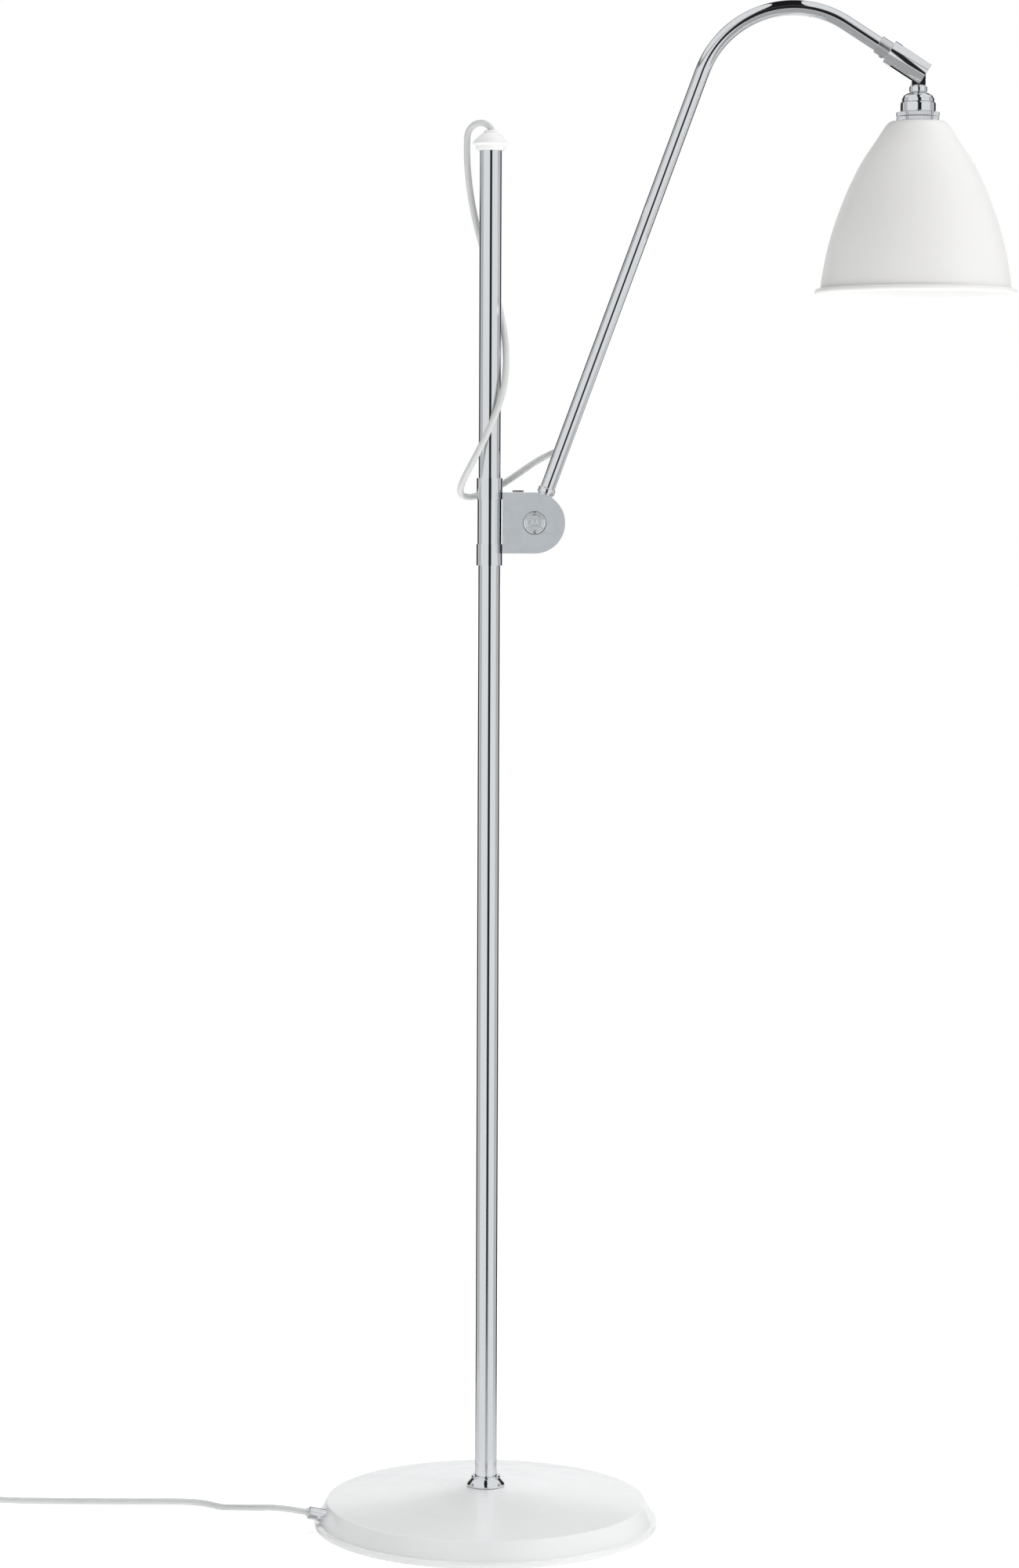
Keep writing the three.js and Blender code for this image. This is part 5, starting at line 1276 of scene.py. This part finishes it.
@dataclass
class Plug(SubAssembly):
    """The flat two-pin mains plug."""

    neck: Point = (-534.0, -31.8, 6.8)

    def build(self) -> None:
        """Makes the plug, its grips and its pins."""
        case = as_object("case", slab(box_outline(36, 35, 8, 10), -6.8, 6.8))
        bevelled(case, 3.0, 6)
        case.data.transform(Matrix.Translation((26, 0, 0)))
        collar = soften([(0, 0, 0), (3.4, 0, 0.3), (3.6, 2.2, 0.2), (3.2, 2.8, 0.2), (3.9, 3.4, 0.2),
                         (4.1, 5.2, 0.2),
                         (3.7, 5.8, 0.2), (4.8, 6.6, 0.2), (5.2, 10, 0), (0, 10, 0)], closed=False)
        carve(case, [placed(lathe(collar, 48, closed=False), aim(Vector(), Vector((1, 0, 0))))], "UNION")
        ribs = as_bmesh(rib_row("plug_grips", PLASTIC, 6, 2.6, (1.0, 18.0, 0.9)))
        ribs.transform(Matrix.Translation((24, 0, 6.8)))
        pins = []
        for side in (-9.3, 9.3):
            pin = lathe([(0, -2), (2, -2), (2, 17.6), (1.2, 18.9), (0, 19)], 32, closed=False)
            pins.append(placed(pin, aim(Vector((44, side, 0)), Vector((1, 0, 0)))))
        whole = as_object("plug", merged(as_bmesh(case), ribs))
        for polygon in whole.data.polygons:
            polygon.use_smooth = True
        whole.data.set_sharp_from_angle(angle=math.radians(38))
        whole.data.transform(Matrix.Translation(Vector(self.neck)))
        self.keep(hand_over(whole, "two_pin_plug", "stand", PLASTIC, ["plug"]))
        metal = placed(merged(*pins), Matrix.Translation(Vector(self.neck)))
        self.keep(hand_over(metal, "plug_contact_pins", "stand", BRASS, []))


@dataclass
class Cords(SubAssembly):
    """The free cords: the hanging one at the pole and the mains cord on the floor."""

    ferrule: Ferrule = field(default_factory=Ferrule)
    join: float = 0.8
    coil_centre: tuple[float, float] = (-572.0, 25.0)
    coil_outer: float = 41.6
    coil_inner: float = 20.8
    turns_in: float = 4.0
    turns_out: float = 3.5
    upper: tuple[Point, ...] = (
        (-0.4, 0.2, 1128.7), (-2.3, 0.9, 1130.5), (-6.6, 2.5, 1132.4), (-11.7, 4.4, 1131.9),
        (-16, 5.9, 1128.7),
        (-18.4, 6.8, 1123.9), (-18.9, 7.4, 1115.4), (-18.9, 7.8, 1106), (-18.2, 8.3, 1094),
        (-16.6, 9.2, 1080),
        (-13.6, 10.6, 1063), (-9.2, 12, 1045), (-3.8, 12.9, 1026), (2.4, 12.8, 1006), (8, 10.8, 984),
        (11.7, 5.8, 963), (12.8, -1, 943), (10.8, -7.8, 922), (5.2, -12.2, 903), (-2.2, -13.4, 886),
        (-9.8, -12.6, 870.5), (-16.6, -9.8, 857.6), (-21.4, -4.9, 847.8), (-23.3, 1.4, 840.9),
        (-21.9, 8, 837),
        (-17, 13.4, 835.7), (-9, 16.4, 836.8), (0.6, 17.3, 840.4), (10.6, 17.4, 846.2), (20.6, 18, 852.8),
        (30, 19.4, 859.4), (38.6, 21, 865), (45.4, 21.6, 868.7), (51, 20.4, 871.3), (55, 17.2, 873),
        (57.2, 13.2, 874), (57.892, 9.7, 874.348))
    run: tuple[Point, ...] = (
        (-153.2, -28.9, 17.8), (-161.1, -27.9, 18.6), (-168.6, -25.2, 18.6), (-175.4, -21, 17.8),
        (-181, -15.6, 16.2), (-190.2, -2.9, 12.9), (-199.3, 9.8, 9.6), (-208.3, 22.6, 6.3),
        (-212.9, 28.9, 4.6),
        (-217.5, 35.3, 3.2), (-222.9, 41.2, 2.7), (-229.1, 46.2, 2.7), (-236.1, 50, 2.7), (-243.6, 52.8, 2.7),
        (-252, 54.1, 2.7), (-300, 54, 2.7), (-340, 54, 2.7),
        (-372, 54.4, 2.7), (-398, 54.2, 3.2), (-418, 54, 4.3), (-430, 54, 5.4), (-437.7, 54, 5.6))
    link: tuple[Point, ...] = (
        (-522.3, 54, 5.6), (-526, 54.2, 5.5), (-532, 55.1, 5.1), (-538, 56.9, 4.6), (-546, 60, 3.9),
        (-555, 63.6, 3.2), (-564, 65.9, 2.8))
    tail: tuple[Point, ...] = (
        (-564.9, -17.7, 7.9), (-558.4, -21.2, 7.9), (-552, -25.4, 7.6), (-546, -29, 7.2), (-540, -31.2, 6.9),
        (-534.3, -31.8, 6.8))

    def tube(self, path: Sequence[Vector], name: str, nodes: Sequence[str], place: str | Bend,
             hidden: Sequence[Vector] = ()) -> bpy.types.Object:
        """Makes a round cord along a path.

        Args:
            path: Its centre points.
            name: The piece's name.
            nodes: The CAD nodes that it replaces.
            place: The body that it rides on, or a Bend; with a Bend the cord is only baked in place and is
                not bent or put on a body.
            hidden: Further points before the start, inside the part that it comes out of.

        Returns:
            The finished cord.
        """
        mesh = sweep([*hidden, *path], CORD_DIAMETER / 2, 24)
        if isinstance(place, str):
            return self.keep(hand_over(mesh, name, place, VINYL, nodes))
        item = as_object(name, mesh)
        for polygon in item.data.polygons:
            polygon.use_smooth = True
        item.data.set_sharp_from_angle(angle=math.radians(60))
        item.data.transform(Matrix.Scale(MM, 4))
        item.data.materials.append(VINYL.build())
        place.apply(item)
        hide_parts(*nodes)
        LOG.info("cord %s, %.0f mm", name, line_length(path))
        return self.keep(item)

    def spiral(self) -> list[Vector]:
        """The coil's centre line: inwards on the floor, then outwards on top."""
        x, y = self.coil_centre
        points = []
        total = self.turns_in + self.turns_out
        steps = int(total * 40)
        for k in range(steps + 1):
            turn = total * k / steps
            if turn <= self.turns_in:
                radius = self.coil_outer - (self.coil_outer - self.coil_inner) * turn / self.turns_in
            else:
                share = (turn - self.turns_in) / self.turns_out
                radius = self.coil_inner + (self.coil_outer - self.coil_inner) * share
            rise = min(max((turn - self.turns_in + 0.4) / 0.8, 0), 1)
            angle = math.radians(90) + TURN * turn
            height = 2.7 + CORD_DIAMETER * rise * rise * (3 - 2 * rise)
            points.append(Vector((x + radius * math.cos(angle), y + radius * math.sin(angle), height)))
        return points

    def build(self) -> None:
        """Makes the four stretches."""
        whole = curve_points([Vector(p) for p in self.upper], 1.4)
        cut = round(len(whole) * self.join)
        near, far = whole[:cut + 1], whole[cut:]
        elbow = [Vector((0.7, -0.2, 1124.6)), Vector((0.4, -0.1, 1126.8))]
        bend = Bend("pole", "bracket", (0, 0, 1128), (0, 0, 856))
        drop = self.tube(near, "hanging_cord", ["upper_cord_pole"], bend, elbow)
        self.declare(drop, near, "object", "limp", "hanging")
        hook = Bend("bracket", "arm", tuple(far[0]), (57.9, 9.7, 874.3))
        loop = self.tube(far, "arm_entry_cord", ["upper_cord_arm"], hook)
        self.declare(loop, far, "object", "limp", "hanging")

        tip = self.ferrule.tip()
        inside = [self.ferrule.tip(11.4), self.ferrule.tip(13.3)]
        run = curve_points([tip, *(Vector(p) for p in self.run)], 1.6)
        first = self.tube(run, "floor_cord_run", ["mains_cord_run"], "stand", inside)
        self.declare(first, run, "fitting", "medium", "loose",
                     ["switch_lower_case", "switch_upper_case", "round_push_button"])
        start = curve_points([*(Vector(p) for p in self.link), self.spiral()[0]], 1.6)
        end = curve_points([self.spiral()[-1], *(Vector(p) for p in self.tail)], 1.6)
        rest = even_points([*start, *self.spiral()[1:], *end[1:]], 1.8)
        second = self.tube(rest, "floor_cord_coil", ["mains_cord_link", "mains_coil", "mains_cord_tail"],
                           "stand")
        self.declare(second, rest, "plug", "medium", "coiled", ["two_pin_plug", "plug_contact_pins"])

    @staticmethod
    def declare(item: bpy.types.Object, path: Sequence[Vector], far_end: str, stiffness: str, lay: str,
                pieces: Sequence[str] = ()) -> None:
        """Takes a free cord and how it lies, and does nothing with them."""


# ---------------------------------------------------------------------------------------------------
# Studio
# ---------------------------------------------------------------------------------------------------
@dataclass(frozen=True)
class Board:
    """A grey or black board that polished metal reflects: its middle, width and soft edge in degrees."""

    middle: float
    width: float
    level: float
    edge: float = 4.0


@dataclass(frozen=True)
class SoftLight:
    """A square soft light: its place and target in metres, power, size and spread in degrees."""

    name: str
    place: Point
    target: Point
    energy: float
    size: float
    spread: float = 180.0


@dataclass
class Studio:
    """The floor, the soft light, the reflected surroundings and the camera."""

    floor_radius: float = 30000.0
    sky: float = 0.40
    camera_place: Point = (0.01698, -3.14569, 0.84586)
    camera_tilt: float = 4.37
    camera_roll: float = 0.2416
    lens: float = 90.0
    wall_level: float = 0.8
    around: tuple[Board, ...] = (
        Board(-135, 30, 0.03), Board(-95, 30, 0.5), Board(5, 20, 0.02), Board(95, 30, 0.5),
        Board(135, 30, 0.03))
    upright: tuple[Board, ...] = (Board(-50, 60, 0.4), Board(25, 10, 0.2))
    behind: tuple[Board, ...] = (Board(30, 15, 0.03),)
    flag_width: float = 0.13  # half width of the dark strip overhead, as a share of a direction
    flag_height: float = 0.5  # how high a direction must point to meet that strip
    ceiling_from: float = 28.0  # degrees up, in front
    ground_from: float = -13.5
    rear_wall_to: float = 17.0
    rear_from: float = 146.0  # degrees round from the front, on either side
    glow_reach: tuple[float, float] = (0.2, 0.9)  # metres from the pole
    glow_level: tuple[float, float] = (0.5, 1.0)
    lights: tuple[SoftLight, ...] = (
        SoftLight("key", (2.3, -1.4, 1.7), (0.3, 0, 1.0), 19, 1.5),
        SoftLight("fill", (-2.6, -1.8, 1.6), (0, 0, 0.8), 0.3, 2.0),
        SoftLight("foot", (0.3, 0.5, 2.0), (0, 0, 0), 4.2, 1.4, 55))

    def build(self) -> None:
        """Makes everything around the object."""
        self._world()
        self._floor()
        self._lights()
        self._camera()

    def _stops(self, boards: Sequence[Board], reach: float) -> list[tuple[float, float]]:
        """The light levels round a plain wall with boards in front of it.

        Args:
            boards: The boards, in the order of their angles.
            reach: The wall runs from minus this angle to plus this angle.

        Returns:
            Angle in degrees and level of each change.
        """
        stops = [(-reach, self.wall_level)]
        for board in boards:
            half = board.width / 2
            stops += [(board.middle - half - board.edge, self.wall_level), (board.middle - half, board.level),
                      (board.middle + half, board.level), (board.middle + half + board.edge, self.wall_level)]
        return [*stops, (reach, self.wall_level)]

    def _ramp(self, tree: bpy.types.NodeTree, boards: Sequence[Board], reach: float,
              angle: bpy.types.NodeSocket) -> bpy.types.NodeSocket:
        """Adds a ramp of light levels over an angle.

        Args:
            tree: The node tree.
            boards: The boards in front of the wall.
            reach: The ramp runs from minus this angle to plus this angle.
            angle: The socket of the angle, in radians.

        Returns:
            The socket of the level.
        """
        share = tree.nodes.new("ShaderNodeMapRange")
        share.inputs["From Min"].default_value = -math.radians(reach)
        share.inputs["From Max"].default_value = math.radians(reach)
        tree.links.new(angle, share.inputs["Value"])
        ramp = tree.nodes.new("ShaderNodeValToRGB")
        elements = ramp.color_ramp.elements
        for k, (degrees, level) in enumerate(self._stops(boards, reach)):
            where = (degrees + reach) / (2 * reach)
            stop = elements[k] if k < 2 else elements.new(where)
            stop.position = where
            stop.color = (level * 0.975, level * 0.99, level, 1)
        tree.links.new(share.outputs["Result"], ramp.inputs["Fac"])
        return ramp.outputs["Color"]

    @staticmethod
    def _math(tree: bpy.types.NodeTree, operation: str,
              *values: bpy.types.NodeSocket | float) -> bpy.types.NodeSocket:
        """Adds a math node and returns its result."""
        node = tree.nodes.new("ShaderNodeMath")
        node.operation = operation
        for socket, value in zip(node.inputs, values):
            if isinstance(value, bpy.types.NodeSocket):
                tree.links.new(value, socket)
            else:
                socket.default_value = value
        return node.outputs["Value"]

    @staticmethod
    def _blend(tree: bpy.types.NodeTree, factor: bpy.types.NodeSocket, first: bpy.types.NodeSocket,
               second: bpy.types.NodeSocket) -> bpy.types.NodeSocket:
        """Adds a colour mix and returns its result."""
        node = tree.nodes.new("ShaderNodeMix")
        node.data_type = "RGBA"
        for key, value in (("Factor", factor), ("A", first), ("B", second)):
            kind = "VALUE" if key == "Factor" else "RGBA"
            socket = next(i for i in node.inputs if i.name == key and i.type == kind)
            tree.links.new(value, socket)
        return next(o for o in node.outputs if o.type == "RGBA")

    def _world(self) -> None:
        """White to the eye, even as a light, and banded like a studio where polished metal mirrors it."""
        world = bpy.data.worlds.new("surroundings")
        world.use_nodes = True
        tree = world.node_tree
        place = tree.nodes.new("ShaderNodeTexCoord")
        parts = tree.nodes.new("ShaderNodeSeparateXYZ")
        tree.links.new(place.outputs["Generated"], parts.inputs["Vector"])
        x, y, z = (parts.outputs[k] for k in "XYZ")
        azimuth = self._math(tree, "ARCTAN2", x, self._math(tree, "MULTIPLY", y, -1.0))
        height = self._math(tree, "ARCSINE", z)
        level = self._ramp(tree, self.around, 180, azimuth)
        up = self._ramp(tree, self.upright, 90, height)
        back = self._ramp(tree, self.behind, 90, height)
        over = self._math(tree, "GREATER_THAN", height, math.radians(self.ceiling_from))
        under = self._math(tree, "LESS_THAN", height, math.radians(self.ground_from))
        front = self._blend(tree, self._math(tree, "ADD", over, under), level, up)
        steep = self._math(tree, "GREATER_THAN", height, math.radians(self.rear_wall_to))
        rear = self._blend(tree, steep, level, back)
        aside = self._math(tree, "ABSOLUTE", azimuth)
        far = self._math(tree, "GREATER_THAN", aside, math.radians(self.rear_from))
        plain = self._blend(tree, far, front, rear)
        narrow = self._math(tree, "LESS_THAN", self._math(tree, "ABSOLUTE", x), self.flag_width)
        high = self._math(tree, "GREATER_THAN", z, self.flag_height)
        flag = tree.nodes.new("ShaderNodeRGB")
        flag.outputs[0].default_value = (0.012, 0.012, 0.013, 1)
        seen = self._blend(tree, self._math(tree, "MULTIPLY", narrow, high), plain, flag.outputs[0])
        rays = tree.nodes.new("ShaderNodeLightPath")
        mirror = tree.nodes["Background"]
        tree.links.new(seen, mirror.inputs["Color"])
        even = tree.nodes.new("ShaderNodeBackground")
        strength = tree.nodes.new("ShaderNodeMapRange")
        strength.inputs["To Min"].default_value = self.sky
        strength.inputs["To Max"].default_value = 1.0
        tree.links.new(rays.outputs["Is Camera Ray"], strength.inputs["Value"])
        tree.links.new(strength.outputs["Result"], even.inputs["Strength"])
        even.inputs["Color"].default_value = (1, 1, 1, 1)
        mix = tree.nodes.new("ShaderNodeMixShader")
        tree.links.new(rays.outputs["Is Glossy Ray"], mix.inputs["Fac"])
        tree.links.new(even.outputs["Background"], mix.inputs[1])
        tree.links.new(mirror.outputs["Background"], mix.inputs[2])
        tree.links.new(mix.outputs["Shader"], tree.nodes["World Output"].inputs["Surface"])
        bpy.context.scene.world = world
        bpy.context.scene.view_settings.view_transform = "Standard"

    def _floor(self) -> None:
        """A pale floor that grows as bright as the background away from the lamp."""
        disc = lathe([(0, 0), (self.floor_radius, 0), (self.floor_radius, -20), (0, -20)], 96, closed=False)
        floor = as_object("floor", disc)
        floor.data.transform(Matrix.Scale(MM, 4))
        material = bpy.data.materials.new("pale_floor")
        material.use_nodes = True
        tree = material.node_tree
        shader = tree.nodes["Principled BSDF"]
        shader.inputs["Base Color"].default_value = (0.86, 0.86, 0.86, 1)
        shader.inputs["Roughness"].default_value = 0.9
        shader.inputs["Specular IOR Level"].default_value = 0.0
        shader.inputs["Emission Color"].default_value = (1, 1, 1, 1)
        place = tree.nodes.new("ShaderNodeTexCoord")
        reach = tree.nodes.new("ShaderNodeVectorMath")
        reach.operation = "LENGTH"
        tree.links.new(place.outputs["Object"], reach.inputs[0])
        glow = tree.nodes.new("ShaderNodeMapRange")
        glow.inputs["From Min"].default_value = self.glow_reach[0]
        glow.inputs["From Max"].default_value = self.glow_reach[1]
        glow.inputs["To Min"].default_value = self.glow_level[0]
        glow.inputs["To Max"].default_value = self.glow_level[1]
        tree.links.new(reach.outputs["Value"], glow.inputs["Value"])
        tree.links.new(glow.outputs["Result"], shader.inputs["Emission Strength"])
        floor.data.materials.append(material)
        floor.visible_glossy = False

    def _lights(self) -> None:
        """A wide soft light at the upper right, a weak one at the left and one above the foot."""
        for each in self.lights:
            data = bpy.data.lights.new(each.name, "AREA")
            data.energy = each.energy
            data.size = each.size
            data.spread = math.radians(each.spread)
            light = bpy.data.objects.new(each.name, data)
            light.location = each.place
            facing = Vector(each.target) - Vector(each.place)
            light.rotation_euler = facing.to_track_quat("-Z", "Y").to_euler()
            light.visible_glossy = light.visible_camera = False
            bpy.context.scene.collection.objects.link(light)

    def _camera(self) -> None:
        """The camera at eye height in front of the lamp."""
        data = bpy.data.cameras.new("view")
        data.lens = self.lens
        data.sensor_width = 36
        camera = bpy.data.objects.new("view", data)
        camera.matrix_world = (Matrix.Translation(self.camera_place)
                               @ Matrix.Rotation(math.radians(90 - self.camera_tilt), 4, "X")
                               @ Matrix.Rotation(math.radians(self.camera_roll), 4, "Z"))
        bpy.context.scene.collection.objects.link(camera)
        bpy.context.scene.camera = camera


@dataclass
class ArcFloorLamp:
    """The whole lamp."""

    parts: tuple[SubAssembly, ...] = field(default_factory=lambda: (
        Base(), Ferrule(), Pole(), Bracket(), Arm(), Knuckle(), Head(), FootSwitch(), Plug(), Cords()))

    def build(self) -> None:
        """Builds and dresses every sub-assembly."""
        for part in self.parts:
            LOG.info("building %s", type(part).__name__)
            part.build()
            part.dress()


def main() -> None:
    """Builds the lamp and the studio."""
    ArcFloorLamp().build()
    Studio().build()


if __name__ == "__main__":
    main()
